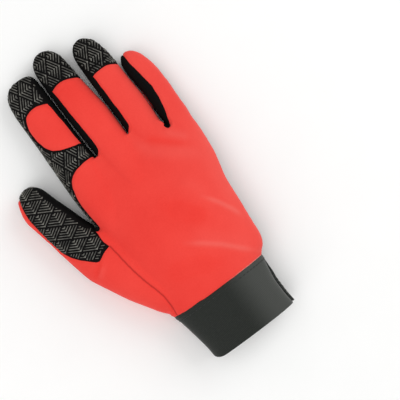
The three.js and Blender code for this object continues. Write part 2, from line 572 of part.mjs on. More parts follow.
// Strap outline seen from above, straight at the little-finger side and round at the thumb side
function strapOutline(inset, squareEnd) {
  const left = STRAP.fromX + inset;
  const right = STRAP.toX - (squareEnd ? inset : -2 * STRAP_CORNER);
  const low = STRAP.lowY + inset;
  const high = STRAP.highY - inset;
  const round = STRAP.roundness - inset;
  const shape = new THREE.Shape();
  shape.moveTo(right, low);
  shape.lineTo(right, high);
  shape.lineTo(left + round, high);
  shape.bezierCurveTo(left + round * 0.4, high, left, high - round * 0.5, left, (low + high) / 2);
  shape.bezierCurveTo(left, low + round * 0.5, left + round * 0.4, low, left + round, low);
  return shape;
}

function prism(shape, fromZ, toZ) {
  const settings = { depth: toZ - fromZ, bevelEnabled: false, curveSegments: 5 };
  const geometry = new THREE.ExtrudeGeometry(shape, settings);
  geometry.translate(0, 0, fromZ);
  return toSolid(geometry);
}

function cuffLayer(layer) {
  return limbSolid(hand, layer.outer).subtract(limbSolid(hand, layer.inner)).subtract(belowFloor);
}

function rectangle(x0, x1, y0, y1) {
  const shape = new THREE.Shape();
  shape.moveTo(x0, y0);
  shape.lineTo(x1, y0);
  shape.lineTo(x1, y1);
  shape.lineTo(x0, y1);
  return shape;
}

const strapBody = prism(strapOutline(0, true), -REACH, STRAP.cutTop);
const anchorPlan = rectangle(ANCHOR.fromX, ANCHOR.toX, ANCHOR.lowY, ANCHOR.highY);
const strapBacking = cuffLayer(BACKING).intersect(strapBody);
const rimOpening = prism(strapOutline(RIM.width, false), -REACH, REACH);
const fieldBody = prism(strapOutline(FIELD.inset, true), -REACH, STRAP.cutTop);
const strapRim = cuffLayer(RIM).intersect(strapBody).subtract(rimOpening);
const strapField = cuffLayer(FIELD).intersect(fieldBody);
const strapAnchor = cuffLayer(ANCHOR).intersect(prism(anchorPlan, -REACH, ANCHOR.cutTop));

const glove = new THREE.Group();

function addPiece(name, solid, finish) {
  const material = new THREE.MeshStandardMaterial(finishes[finish]);
  const mesh = new THREE.Mesh(toGeometry(solid.getMesh()), material);
  mesh.name = name;
  glove.add(mesh);
}

for (const [name, place] of Object.entries(panelPlaces)) {
  addPiece(name, nearestBody(place), place.finish);
}
addPiece('wrist_strap', strapBacking, 'webbing');
addPiece('strap_rim', strapRim, 'rim');
addPiece('strap_field', strapField, 'field');
addPiece('strap_anchor', strapAnchor, 'anchor');

// The origin goes to the middle of the glove's plan
const bounds = new THREE.Box3().setFromObject(glove);
glove.position.set(-(bounds.min.x + bounds.max.x) / 2, -(bounds.min.y + bounds.max.y) / 2, -bounds.min.z);

export default glove;
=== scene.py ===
import math

import bpy
import numpy as np
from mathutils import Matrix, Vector, noise
from mathutils.bvhtree import BVHTree
from mathutils.kdtree import KDTree


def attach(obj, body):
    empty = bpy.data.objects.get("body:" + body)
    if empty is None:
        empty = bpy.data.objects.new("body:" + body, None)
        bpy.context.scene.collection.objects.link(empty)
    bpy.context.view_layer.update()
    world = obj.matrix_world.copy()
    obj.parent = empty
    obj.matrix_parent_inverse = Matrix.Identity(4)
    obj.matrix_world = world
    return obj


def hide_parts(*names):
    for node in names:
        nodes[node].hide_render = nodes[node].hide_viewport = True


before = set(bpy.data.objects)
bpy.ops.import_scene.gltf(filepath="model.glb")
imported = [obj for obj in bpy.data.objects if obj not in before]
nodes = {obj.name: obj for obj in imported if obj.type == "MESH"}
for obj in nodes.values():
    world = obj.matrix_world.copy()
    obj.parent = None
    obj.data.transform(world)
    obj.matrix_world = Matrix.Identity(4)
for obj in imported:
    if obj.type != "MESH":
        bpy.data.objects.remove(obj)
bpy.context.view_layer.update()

bpy.ops.object.select_all(action="DESELECT")

# The glove is shaped in millimetres from the middle of the cuff's lower edge, then moved into the frame
shift = np.array([10.5572, -124.85, 0.0])
mm = 0.001

# Limbs of the glove. Columns: y, left x, right x, low z, high z
limbs = {
    "hand": {
        "sides": 72,
        "rows": [
            (-6, -31.0, 36.6, 3.7, 31.2), (0, -31.0, 36.6, 3.7, 31.2), (9, -31.4, 36.0, 3.7, 31.7),
            (19, -32.7, 35.8, 3.7, 32.1), (37, -35.7, 38.6, 3.4, 33.4), (42, -37.2, 39.8, 2.6, 34.2),
            (47, -38.0, 44.6, 0.8, 35.0), (54, -38.0, 47.2, -0.4, 35.8), (66, -38.8, 48.4, -1.1, 36.2),
            (82, -41.4, 49.9, -1.3, 36.0), (98, -43.2, 51.6, -1.3, 35.2), (110, -43.7, 54.5, -1.3, 33.6),
            (122, -43.9, 56.9, -1.3, 31.2), (135, -43.8, 58.1, -1.3, 28.4), (150, -43.3, 58.8, -0.9, 24.4),
            (166, -42.4, 59.2, 0.8, 19.2),
        ],
    },
    "index": {
        "sides": 44,
        "rows": [
            (116, -41.0, -15.0, 1.0, 28.0), (134, -43.7, -13.2, -1.2, 27.8), (150, -44.4, -12.9, -1.1, 25.6),
            (166, -44.1, -13.6, -1.0, 22.6), (180, -43.7, -14.3, -0.9, 21.2), (200, -43.0, -14.5, -0.8, 20.0),
            (224, -42.5, -14.5, -0.6, 18.4), (235.5, -40.7, -14.6, 0.2, 16.6),
            (240.3, -37.8, -15.8, 1.4, 15.0), (243.4, -33.6, -18.8, 3.4, 12.8),
            (244.6, -29.0, -22.8, 6.2, 10.0),
        ],
    },
    "middle": {
        "sides": 44,
        "rows": [
            (116, -13.6, 15.6, 1.0, 29.0), (134, -13.0, 15.3, -1.2, 29.2), (150, -12.5, 14.9, -1.1, 27.0),
            (166, -12.6, 14.5, -1.0, 23.4), (177, -13.1, 14.7, -0.9, 21.8), (190, -13.5, 14.7, -0.8, 21.0),
            (201, -13.7, 13.5, -0.7, 20.2), (217, -13.7, 11.7, -0.6, 18.9), (236.5, -13.4, 10.2, 0.0, 16.6),
            (243.4, -12.3, 8.8, 1.2, 15.0), (248.0, -9.8, 5.8, 3.0, 13.0), (250.5, -6.2, 2.4, 5.2, 10.8),
            (251.4, -3.6, -0.2, 7.2, 9.0),
        ],
    },
    "ring": {
        "sides": 44,
        "rows": [
            (116, 15.4, 40.2, 1.0, 27.6), (134, 15.4, 40.2, -1.2, 27.2), (147, 15.5, 39.5, -1.1, 25.4),
            (158, 15.2, 39.0, -1.0, 23.4), (167, 15.2, 39.4, -0.9, 22.2), (181, 15.2, 40.2, -0.8, 21.2),
            (200, 15.0, 39.4, -0.6, 19.8), (218, 15.2, 38.8, -0.5, 18.2), (231.5, 15.9, 36.8, 0.3, 16.2),
            (236.8, 17.6, 34.4, 1.6, 14.6), (240.6, 20.6, 30.7, 3.6, 12.4), (242.2, 23.8, 27.6, 6.4, 9.8),
        ],
    },
    "little": {
        "sides": 44,
        "rows": [
            (112, 38.0, 53.6, 1.0, 26.0), (130, 40.2, 57.6, -1.2, 25.0), (146, 40.4, 58.6, -1.1, 22.8),
            (170, 40.2, 59.9, -0.9, 19.6), (183, 40.6, 60.2, -0.7, 18.6), (193, 40.3, 59.8, -0.5, 17.8),
            (200.5, 39.9, 58.5, -0.2, 17.0), (206.8, 40.1, 56.5, 0.6, 15.8), (211.2, 41.6, 53.8, 2.0, 14.2),
            (213.7, 43.6, 50.8, 4.0, 12.2), (214.6, 45.8, 48.4, 6.4, 9.8),
        ],
    },
    "thumb": {
        "sides": 48,
        "rows": [
            (43.6, -36.4, -16.0, 4.4, 26.0), (50, -42.3, -14.0, 0.6, 28.6), (60, -48.9, -15.0, -0.6, 30.2),
            (80, -60.5, -22.0, -1.2, 30.0), (100, -69.9, -23.5, -1.2, 28.4), (110, -72.4, -28.0, -1.2, 27.2),
            (120, -74.2, -36.6, -1.2, 26.0), (130, -75.9, -44.6, -1.2, 24.6), (150, -80.1, -51.4, -1.0, 23.0),
            (160, -81.6, -54.8, -0.8, 22.0), (172.3, -79.0, -58.7, 0.6, 19.2),
            (176.4, -75.4, -61.9, 2.6, 17.0), (178.5, -71.6, -65.2, 5.2, 14.2),
            (179.1, -69.4, -67.4, 7.8, 11.4),
        ],
    },
}

# How the cloth skin is made
skin = {
    "squareness": 2.35,          # of the limbs' sections
    "rowsPerGap": 8,
    "voxel": 0.82,
    "fingerSpread": 2.4,         # the fingers stand this much further apart while the skin is closed
    # neighbours, and the y over which the slit between them is widened
    "slits": (("index", "middle", 154, 166), ("middle", "ring", 154, 165), ("ring", "little", 140, 151)),
    "leastSlit": 0.5,
    "crotch": (38.4, 152.2),     # the space between ring and little finger starts here
    "smoothing": 26,
    "drawIn": 0.6,               # each smoothing pass draws in and then out again
    "drawOut": -0.62,
    "evening": (3, 0.4),         # passes once the slits are narrow again, and their strength
    "cuffCorner": (-23.5, 7.8, 5.0),   # x where the cuff's edge starts to rise, reach, rise
    "cuffMargin": 0.25,          # faces this part of a voxel below the cuff's edge are kept
    "votes": (5, 1.5),           # passes that even the panels' borders, and the weight of a face's own panel
    "seamSmoothing": 14,
    "seamStrength": 0.5,
    "seamRings": 2,              # rings of points beside a seam that are smoothed with it
    "snapEvery": 4,              # passes after which the seams are laid back on the skin
    "grooveDepth": 0.42,
    "grooveWidth": 0.85,
    "puff": 0.28,
    "puffAt": 2.4,
    "puffWidth": 1.3,
    "seamOpening": 0.09,
    "seamLineWidth": 0.55,
    "seamLineReach": 3,
    "thickness": 1.35,
    "restHeight": 0.5,
    "restRounding": 0.3,         # how softly the underside turns flat
    "smoothAngle": 50,
}

panels = {
    "back_panel": "red_stretch", "index_back_patch": "red_stretch", "thumb_back_panel": "red_stretch",
    "palm_panel": "grip_leather", "thumb_palm_panel": "grip_leather",
    "middle_tip_cap": "grip_leather", "ring_tip_cap": "grip_leather",
    "fourchette_index_middle": "side_leather", "fourchette_middle_ring": "side_leather",
    "fourchette_ring_little": "side_leather", "cuff": "cuff_elastic",
}

# Soft folds on the back of the hand: points x, y, half width, height and the painted light along each: how far
# the colour is lightened as a painted highlight, or darkened as painted shade where below nought
folds = [
    {"line": [(30, 99), (36.7, 89), (41.8, 79), (44.6, 71)], "width": 1.7, "height": 0.6, "paintedLight": 0.15},
    {"line": [(1, 80), (11, 72.5), (21, 64), (30, 54), (38.6, 45)],
     "width": 2.0, "height": 0.6, "paintedLight": 0.14},
    {"line": [(4, 84), (16, 74), (30, 60), (40, 48)], "width": 6.0, "height": 0.0, "paintedLight": 0.04},
    {"line": [(24, 118), (30.5, 107), (35.5, 96)], "width": 4.0, "height": 0.4, "paintedLight": 0.02},
    {"line": [(15, 162), (20, 146), (36, 133), (51, 120)], "width": 5.0, "height": 0.5, "paintedLight": 0.05},
    {"line": [(20, 157), (33, 145), (45, 134)], "width": 3.0, "height": -0.4, "paintedLight": -0.05},
    {"line": [(35, 152), (42, 144), (49, 137)], "width": 3.4, "height": 0.5, "paintedLight": 0.06},
    {"line": [(6, 108), (16, 96), (26, 84)], "width": 6.0, "height": -0.2, "paintedLight": -0.06},
    {"line": [(-22, 68), (-6, 65), (12, 56)], "width": 5.0, "height": -0.2, "paintedLight": -0.06},
    # a broad painted highlight along the side towards the little finger, as if lit from there
    {"line": [(57, 150), (55, 130), (51, 110), (48, 90), (46, 70)],
     "width": 8.0, "height": 0.0, "paintedLight": 0.05},
    {"line": [(-12, 60), (2, 56), (16, 50)], "width": 4.0, "height": 0.35, "paintedLight": 0.0},
    {"line": [(-55, 104.5), (-59, 102), (-63.5, 98.5)], "width": 1.6, "height": -0.6, "paintedLight": -0.12},
    {"line": [(-54, 101.5), (-58, 98.6), (-62.5, 95)], "width": 2.4, "height": 0.4, "paintedLight": 0.05},
    {"line": [(-39, 84), (-30, 92), (-22, 96)], "width": 4.5, "height": -0.3, "paintedLight": 0.0},
]
# Painted light on the knit: lighter towards the little finger, as if lit from that side, and an even share
# over all of it
knitPaintedLight = {"x": (0, 48), "amount": 0.05, "all": 0.016}
# Painted light on the cuff's elastic: lighter towards the little finger's side, as if lit from there
cuffPaintedLight = {"x": (2, 27), "amount": 0.9}
# How unevenly the cloth lies, and where it is held flat
drape = {
    "rumples": ((26.0, 0.7), (11.0, 0.22)),   # width and height
    "redShare": 0.75,            # of the rumples, on the thin stretch cloth
    "otherShare": 0.35,
    "pucker": 0.22,              # height of the small puckers beside the seams
    "puckerSize": 3.4,
    "puckerFrom": (7.1, 3.3, 1.7),   # where in the noise they are read
    "puckerAt": 1.8,
    "puckerWidth": 2.4,
    "underside": (0.6, 4.0),     # z over which the rumples begin
    "topSlope": (0.1, 0.6),      # upward slope over which the folds begin
    "foldEnds": 0.25,            # part of a fold's length over which it fades
    "foldLeast": 0.25,
    "hem": (-0.1, 3.0),          # y above the cuff's edge over which the unevenness begins
    "hemLeast": 0.1,
    # the fingers' facing sides: y from, x from and to, sideways slope, height
    "facing": {"y": 150, "x": (-20, 45), "slope": (0.4, 0.75), "height": -0.05},
}


def meshFrom(name, points, faces):
    mesh = bpy.data.meshes.new(name)
    mesh.from_pydata([tuple(p) for p in points], [], [tuple(int(i) for i in f) for f in faces])
    mesh.validate()
    made = bpy.data.objects.new(name, mesh)
    bpy.context.scene.collection.objects.link(made)
    return made


def inFrame(points):
    return (np.asarray(points, float) + shift) * mm


def onlyThis(thing):
    bpy.ops.object.select_all(action="DESELECT")
    thing.select_set(True)
    bpy.context.view_layer.objects.active = thing


def editAll(thing, operator, **settings):
    # an edit mode operator on the whole of a mesh
    onlyThis(thing)
    bpy.ops.object.mode_set(mode="EDIT")
    bpy.ops.mesh.select_all(action="SELECT")
    operator(**settings)
    bpy.ops.object.mode_set(mode="OBJECT")


def remesh(thing, voxel):
    onlyThis(thing)
    thing.data.remesh_voxel_size = voxel
    thing.data.remesh_voxel_adaptivity = 0
    bpy.ops.object.voxel_remesh()


def treeOf(points, faces):
    return BVHTree.FromPolygons([tuple(p) for p in points], faces)


def smoothStep(value, low, high):
    t = np.clip((value - low) / (high - low), 0, 1)
    return t * t * (3 - 2 * t)


def easedRows(rows, perGap):
    # rows between the measured ones, on curves that never swing past them
    table = np.array(rows, float)
    gaps = np.diff(table, axis=0)
    slopes = np.zeros_like(table)
    same = gaps[:-1] * gaps[1:] > 0
    total = np.where(same, gaps[:-1] + gaps[1:], 1)
    slopes[1:-1] = np.where(same, 2 * gaps[:-1] * gaps[1:] / total, 0)
    slopes[0], slopes[-1] = gaps[0], gaps[-1]
    fine = np.linspace(0, len(table) - 1, (len(table) - 1) * perGap + 1)
    k = np.minimum(fine.astype(int), len(table) - 2)
    t = (fine - k)[:, None]
    return ((2 * t**3 - 3 * t**2 + 1) * table[k] + (t**3 - 2 * t**2 + t) * slopes[k]
            + (3 * t**2 - 2 * t**3) * table[k + 1] + (t**3 - t**2) * slopes[k + 1])


def sectionPoints(row, angles):
    power = 2 / skin["squareness"]
    c, s = np.cos(angles), np.sin(angles)
    x = (row[1] + row[2]) / 2 + (row[2] - row[1]) / 2 * np.sign(c) * np.abs(c) ** power
    z = (row[3] + row[4]) / 2 + (row[4] - row[3]) / 2 * np.sign(s) * np.abs(s) ** power
    return x, z


for limb in limbs.values():
    limb["fine"] = easedRows(limb["rows"], skin["rowsPerGap"])


def spreadOf(x, y):
    # how far a point is moved aside so that the thin gaps between the fingers stay open
    x, y = np.asarray(x, float), np.asarray(y, float)
    moved = np.zeros_like(x)
    for left, right, low, high in skin["slits"]:
        a = np.interp(y, limbs[left]["fine"][:, 0], limbs[left]["fine"][:, 2])
        b = np.interp(y, limbs[right]["fine"][:, 0], limbs[right]["fine"][:, 1])
        b = np.maximum(b, a + skin["leastSlit"])
        moved += skin["fingerSpread"] * smoothStep(y, low, high) * np.clip((x - a) / (b - a), 0, 1)
    return moved


def unspread(x, y):
    # the x that spreadOf moved to this x, found by halving
    halvings = 34
    low, high = x - 4 * skin["fingerSpread"], x + 1.0
    for _ in range(halvings):
        middle = (low + high) / 2
        tooFar = middle + spreadOf(middle, y) > x
        high = np.where(tooFar, middle, high)
        low = np.where(tooFar, low, middle)
    return (low + high) / 2


def limbParts(limb):
    rows = limb["fine"]
    sides = limb["sides"]
    angles = np.arange(sides) * 2 * np.pi / sides
    rings = []
    for row in rows:
        x, z = sectionPoints(row, angles)
        y = np.full(sides, row[0])
        rings.append(np.stack([x, y, z], 1))
    points = np.concatenate(rings)
    count = len(rows)
    faces = []
    for r in range(count - 1):
        for s in range(sides):
            t = (s + 1) % sides
            faces.append((r * sides + s, (r + 1) * sides + s, (r + 1) * sides + t, r * sides + t))
    # both ends are closed round a middle point
    ends = (len(points), len(points) + 1)
    points = np.concatenate([points, [rings[0].mean(0), rings[-1].mean(0)]])
    for s in range(sides):
        t = (s + 1) % sides
        faces.append((ends[0], s, t))
        faces.append((ends[1], (count - 1) * sides + t, (count - 1) * sides + s))
    return points, faces


# One closed skin over all limbs
print("glove: skin")
allPoints, allFaces = [], []
for name, limb in limbs.items():
    points, faces = limbParts(limb)
    if name == "hand":
        # the hand's end beside the little finger is drawn back to the crotch
        cx, cy = skin["crotch"]
        edge = points[:, 0] > cx
        points[edge, 1] = np.minimum(points[edge, 1], cy)
    start = sum(len(p) for p in allPoints)
    allFaces += [tuple(i + start for i in f) for f in faces]
    points[:, 0] += spreadOf(points[:, 0], points[:, 1])
    allPoints.append(points)
skinObject = meshFrom("skin", np.concatenate(allPoints), allFaces)
editAll(skinObject, bpy.ops.mesh.normals_make_consistent, inside=False)
remesh(skinObject, skin["voxel"])


def readMesh(thing):
    mesh = thing.data
    points = np.zeros(len(mesh.vertices) * 3)
    mesh.vertices.foreach_get("co", points)
    faces = [tuple(p.vertices) for p in mesh.polygons]
    return points.reshape(-1, 3), faces


def edgesOf(faces):
    # each edge once, with the faces on its two sides (-1 where there is none)
    quads = np.array([f if len(f) == 4 else f + (f[-1],) for f in faces])
    ends = np.concatenate([quads[:, [i, (i + 1) % 4]] for i in range(4)])
    owner = np.tile(np.arange(len(quads)), 4)
    real = ends[:, 0] != ends[:, 1]
    ends, owner = np.sort(ends[real], 1), owner[real]
    order = np.lexsort((ends[:, 1], ends[:, 0]))
    ends, owner = ends[order], owner[order]
    first = np.ones(len(ends), bool)
    first[1:] = (ends[1:] != ends[:-1]).any(1)
    index = np.cumsum(first) - 1
    edges = ends[first]
    sides = np.full((len(edges), 2), -1)
    sides[index[first], 0] = owner[first]
    sides[index[~first], 1] = owner[~first]
    return edges, sides


def relaxed(points, edges, amount):
    # each point moved by that share towards the middle of its neighbours
    count = np.bincount(edges.ravel(), minlength=len(points)).astype(float)
    count[count == 0] = 1
    mean = np.zeros_like(points)
    for axis in range(3):
        mean[:, axis] = np.bincount(edges[:, 0], points[edges[:, 1], axis], len(points))
        mean[:, axis] += np.bincount(edges[:, 1], points[edges[:, 0], axis], len(points))
    mean /= count[:, None]
    return points + amount * (mean - points)


def smoothed(points, edges, passes):
    # in and out again in each pass, so that nothing shrinks
    for _ in range(passes):
        points = relaxed(points, edges, skin["drawIn"])
        points = relaxed(points, edges, skin["drawOut"])
    return points


def normalsOf(points, faces):
    quads = np.array([f if len(f) == 4 else f + (f[-1],) for f in faces])
    across = np.cross(points[quads[:, 2]] - points[quads[:, 0]], points[quads[:, 3]] - points[quads[:, 1]])
    normals = np.zeros_like(points)
    for corner in range(4):
        for axis in range(3):
            normals[:, axis] += np.bincount(quads[:, corner], across[:, axis], len(points))
    return normals / np.maximum(np.linalg.norm(normals, axis=1), 1e-9)[:, None]


points, faces = readMesh(skinObject)
edges, sides = edgesOf(faces)
points = smoothed(points, edges, skin["smoothing"])
points[:, 0] = unspread(points[:, 0], points[:, 1])
for _ in range(skin["evening"][0]):
    points = relaxed(points, edges, skin["evening"][1])
# flattened where the glove lies on the floor, with room below for the raised print
above = points[:, 2] - skin["restHeight"]
points[:, 2] = skin["restHeight"] + 0.5 * (above + np.sqrt(above ** 2 + skin["restRounding"]))
print("glove: skin has", len(faces), "faces")


def cuffEdge(x):
    # the lower edge, straight and then rising as part of an ellipse
    corner, reach, rise = skin["cuffCorner"]
    return rise * (1 - np.sqrt(1 - np.clip((corner - x) / reach, 0, 0.99) ** 2))


# Each face of the skin belongs to the panel whose solid is nearest
panelNames = list(panels)
cadPoints, cadFaces, cadOwner = [], [], []
for number, name in enumerate(panelNames):
    co, tris = readMesh(nodes[name])
    start = sum(len(p) for p in cadPoints)
    cadPoints.append(co / mm - shift)
    cadFaces += [tuple(i + start for i in f) for f in tris]
    cadOwner += [number] * len(tris)
cadTree = treeOf(np.concatenate(cadPoints), cadFaces)
centres = np.array([points[list(f)].mean(0) for f in faces])
keep = centres[:, 1] > cuffEdge(centres[:, 0]) - skin["cuffMargin"] * skin["voxel"]
faces = [f for f, k in zip(faces, keep) if k]
centres = centres[keep]
edges, sides = edgesOf(faces)
owner = np.array([cadOwner[cadTree.find_nearest(Vector(c))[2]] for c in centres])
shared = sides[:, 1] >= 0
for _ in range(skin["votes"][0]):
    votes = np.zeros((len(faces), len(panelNames)))
    votes[np.arange(len(faces)), owner] = skin["votes"][1]
    np.add.at(votes, (sides[shared, 0], owner[sides[shared, 1]]), 1)
    np.add.at(votes, (sides[shared, 1], owner[sides[shared, 0]]), 1)
    owner = votes.argmax(1)
print("glove: panels", {n: int((owner == i).sum()) for i, n in enumerate(panelNames)})

# Seam lines are drawn smooth along the skin
skinTree = treeOf(points, faces)
rimEdge = ~shared
seamEdge = shared.copy()
seamEdge[shared] = owner[sides[shared, 0]] != owner[sides[shared, 1]]
onSeam = edges[seamEdge]
onRim = edges[rimEdge]
degree = np.bincount(onSeam.ravel(), minlength=len(points))
rimPoint = np.zeros(len(points), bool)
rimPoint[onRim.ravel()] = True
seamPoint = (degree > 0) & ~rimPoint
free = (degree == 2) & ~rimPoint
touching = np.zeros(len(points), bool)
for _ in range(skin["seamRings"]):
    near = seamPoint | touching
    touching[edges[near[edges[:, 0]], 1]] = True
    touching[edges[near[edges[:, 1]], 0]] = True
touching &= ~seamPoint & ~rimPoint
for done in range(1, skin["seamSmoothing"] + 1):
    moved = relaxed(points, onSeam, skin["seamStrength"])
    points[free] = moved[free]
    moved = relaxed(points, edges, skin["seamStrength"])
    points[touching] = moved[touching]
    if done % skin["snapEvery"] == 0 or done == skin["seamSmoothing"]:
        for i in np.nonzero(free | touching)[0]:
            points[i] = skinTree.find_nearest(Vector(points[i]))[0]
points[rimPoint, 1] = cuffEdge(points[rimPoint, 0])


def pointTree(wanted):
    tree = KDTree(int(wanted.sum()))
    for i in np.nonzero(wanted)[0]:
        tree.insert(Vector(points[i]), int(i))
    tree.balance()
    return tree


def pointsOf(wanted):
    # marks the points of those faces
    marked = np.zeros(len(points), bool)
    for i in np.nonzero(wanted)[0]:
        marked[list(faces[i])] = True
    return marked


# Distance of each point to the nearest seam
seamTree = pointTree(seamPoint)
used = np.zeros(len(points), bool)
used[edges.ravel()] = True
farFromSeams = 99.0
seamDistance = np.full(len(points), farFromSeams)
for i in np.nonzero(used)[0]:
    seamDistance[i] = seamTree.find(Vector(points[i]))[2]

# Seams between two red panels show as a fine darker line
faceSlot = np.array([panels[panelNames[o]] for o in owner])
redPoint = pointsOf(faceSlot == "red_stretch")
elasticCuffPoint = pointsOf(faceSlot == "cuff_elastic")
redSeamPoint = seamPoint & ~pointsOf(faceSlot != "red_stretch")
redSeamTree = pointTree(redSeamPoint)
redSeam = np.zeros(len(points))
for i in np.nonzero(used & (seamDistance < skin["seamLineReach"]))[0]:
    redSeam[i] = math.exp(-(redSeamTree.find(Vector(points[i]))[2] / skin["seamLineWidth"]) ** 2)

# Seam grooves, puffed edges beside them, puckers and soft folds
normals = normalsOf(points, faces)
offset = -skin["grooveDepth"] * np.exp(-(seamDistance / skin["grooveWidth"]) ** 2)
offset += skin["puff"] * np.exp(-((seamDistance - skin["puffAt"]) / skin["puffWidth"]) ** 2)
rumple = np.zeros(len(points))
pucker = np.zeros(len(points))
for i in np.nonzero(used)[0]:
    p = Vector(points[i])
    rumple[i] = sum(noise.noise(p / width) * height for width, height in drape["rumples"])
    pucker[i] = noise.noise(p / drape["puckerSize"] + Vector(drape["puckerFrom"]))
flatUnder = smoothStep(points[:, 2], *drape["underside"])
offset += np.where(redPoint, drape["redShare"], drape["otherShare"]) * rumple * flatUnder
besideSeam = np.exp(-((seamDistance - drape["puckerAt"]) / drape["puckerWidth"]) ** 2)
offset += drape["pucker"] * pucker * besideSeam * flatUnder
upward = smoothStep(normals[:, 2], *drape["topSlope"])
# painted highlight on the cuff's elastic towards the little finger's side
paintedLight = elasticCuffPoint * cuffPaintedLight["amount"] * smoothStep(points[:, 0], *cuffPaintedLight["x"])
# painted highlight on the knit towards the little finger, and its even share
paintedLight += redPoint * (knitPaintedLight["all"] + knitPaintedLight["amount"] * smoothStep(points[:, 0], *knitPaintedLight["x"]))
for fold in folds:
    line = np.array(fold["line"], float)
    nearest = np.full(len(points), 1e9)
    share = np.zeros(len(points))
    for k in range(len(line) - 1):
        a, b = line[k], line[k + 1]
        along = np.clip(((points[:, :2] - a) @ (b - a)) / ((b - a) @ (b - a)), 0, 1)
        gap = np.linalg.norm(points[:, :2] - a - along[:, None] * (b - a), axis=1)
        closer = gap < nearest
        nearest = np.where(closer, gap, nearest)
        share = np.where(closer, (k + along) / (len(line) - 1), share)
    fade = smoothStep(share, 0, drape["foldEnds"]) * (1 - smoothStep(share, 1 - drape["foldEnds"], 1))
    fade = drape["foldLeast"] + (1 - drape["foldLeast"]) * fade
    shape = fade * np.exp(-(nearest / fold["width"]) ** 2) * upward * redPoint
    offset += fold["height"] * shape
    # painted highlight along the fold, or painted shade where its value is below nought
    paintedLight += fold["paintedLight"] * shape
hem = smoothStep(points[:, 1] - cuffEdge(points[:, 0]), *drape["hem"])
offset *= hem * (1 - drape["hemLeast"]) + drape["hemLeast"]
# the fingers' facing sides don't swell into the slits between them
held = drape["facing"]
between = (points[:, 1] > held["y"]) & (points[:, 0] > held["x"][0]) & (points[:, 0] < held["x"][1])
facing = smoothStep(np.abs(normals[:, 0]), *held["slope"]) * between
offset = offset * (1 - facing) + held["height"] * facing
points += normals * offset[:, None]
points[:, 2] = np.maximum(points[:, 2], skin["restHeight"])
print("glove: seams and folds")


def panelPiece(number):
    name = panelNames[number]
    own = [faces[i] for i in np.nonzero(owner == number)[0]]
    ids = np.unique(np.concatenate([np.array(f) for f in own]))
    back = {int(i): k for k, i in enumerate(ids)}
    local = points[ids].copy()
    ownFaces = [tuple(back[int(i)] for i in f) for f in own]
    ownEdges, ownSides = edgesOf(ownFaces)
    border = np.zeros(len(ids), bool)
    border[ownEdges[ownSides[:, 1] < 0].ravel()] = True
    # drawn back a little from the seam, so that a thin dark line stays open
    toInside = ownEdges[border[ownEdges[:, 0]] != border[ownEdges[:, 1]]]
    pull = np.zeros_like(local)
    for a, b in ((0, 1), (1, 0)):
        pick = border[toInside[:, a]]
        np.add.at(pull, toInside[pick, a], local[toInside[pick, b]] - local[toInside[pick, a]])
    length = np.linalg.norm(pull, axis=1)
    tiny = 1e-6
    step = np.where(length > tiny, skin["seamOpening"] / np.maximum(length, tiny), 0)
    step[redSeamPoint[ids]] = 0
    local += pull * step[:, None]
    piece = meshFrom(name + "_cloth", inFrame(local), ownFaces)
    for attribute, values in (("seam", redSeam), ("paintedLight", paintedLight)):
        held = piece.data.attributes.new(attribute, "FLOAT", "POINT")
        held.data.foreach_set("value", values[ids])
    onlyThis(piece)
    wall = piece.modifiers.new("wall", "SOLIDIFY")
    wall.thickness = skin["thickness"] * mm
    wall.offset = -1
    wall.use_rim = True
    bpy.ops.object.modifier_apply(modifier="wall")
    bpy.ops.object.shade_smooth_by_angle(angle=math.radians(skin["smoothAngle"]))
    return piece


pieces = {}
for number, name in enumerate(panelNames):
    pieces[name] = panelPiece(number)
    print("glove:", name, len(pieces[name].data.polygons), "faces")

finalTree = treeOf(points, faces)
faceSeam = np.array([seamDistance[list(f)].min() for f in faces])

# Raised silicone print: nested chevrons in a rhombus lattice
printed = {
    "pitch": 11.8,           # along the chevrons' axis
    "rowStep": 10.2,
    "halfAngle": 60.0,       # of the arms to the axis
    "chevrons": 5,
    "tipMargin": 1.1,        # from the cell's tip to its first vertex
    "chevronStep": 2.1,
    "endGap": 0.8,
    "lineWidth": 0.78,
    "lineHeight": 0.34,
    "vertexWidth": 1.4,      # the lines are this much wider and higher at their vertices
    "crown": 0.55,           # part of the width that stands at full height
    "sunk": 0.12,            # the lines' edges lie this deep in the leather
    "sharpest": 0.75,        # limit of a line's widening in its bends
    "sample": 1.25,
    "seamMargin": 0.6,
    # y at which the length along each limb is counted from
    "level": {"hand": 127, "index": 158, "middle": 158, "ring": 158, "little": 158, "thumb": 130},
    "leastRound": 14.0,      # no print where the limb is less far round than this
    "mostRound": 0.9,        # or further round it than this part of the way
    "tipFrom": 219.0,        # from here on the fingertips' upper sides are printed as seen from above
    "tipSlope": 0.22,
    "reach": 3.0,            # from the measured limb to the cloth
    "thumbShadedPlainSide": 0.6,      # the side of the thumb that turns this far to the hand is plain: partly the glove's plain strip, partly painted shade where the print is left off
    "underSlope": -0.45,     # between fingers only what faces down more than this is printed
    "sideSlope": 0.2,
    "smoothAngle": 60,
}
# The part of the palm that is printed flat
palm = {
    "fromY": 40,
    "toX": (34, 56),         # below and above the hand's level
    "webs": (-13.4, 15.2),   # x of the webs between the fingers, where the print goes on to webToY
    "webHalfWidth": 2,
    "webToY": 168,
    "slope": -0.4,
}
rayStart = 60                # above or below the glove


def limbTable(limb, level):
    # length along the limb for each fine row, equal to y at that level
    rows = limb["fine"]
    halfX, halfZ = (rows[:, 2] - rows[:, 1]) / 2, (rows[:, 4] - rows[:, 3]) / 2
    steps = np.sqrt(np.diff(rows[:, 0]) ** 2 + (np.diff(halfX) ** 2 + np.diff(halfZ) ** 2) / 2)
    length = np.concatenate([[0], np.cumsum(steps)])
    return length - np.interp(level, rows[:, 0], length) + level


fullRound = np.linspace(0, 2 * np.pi, 241)


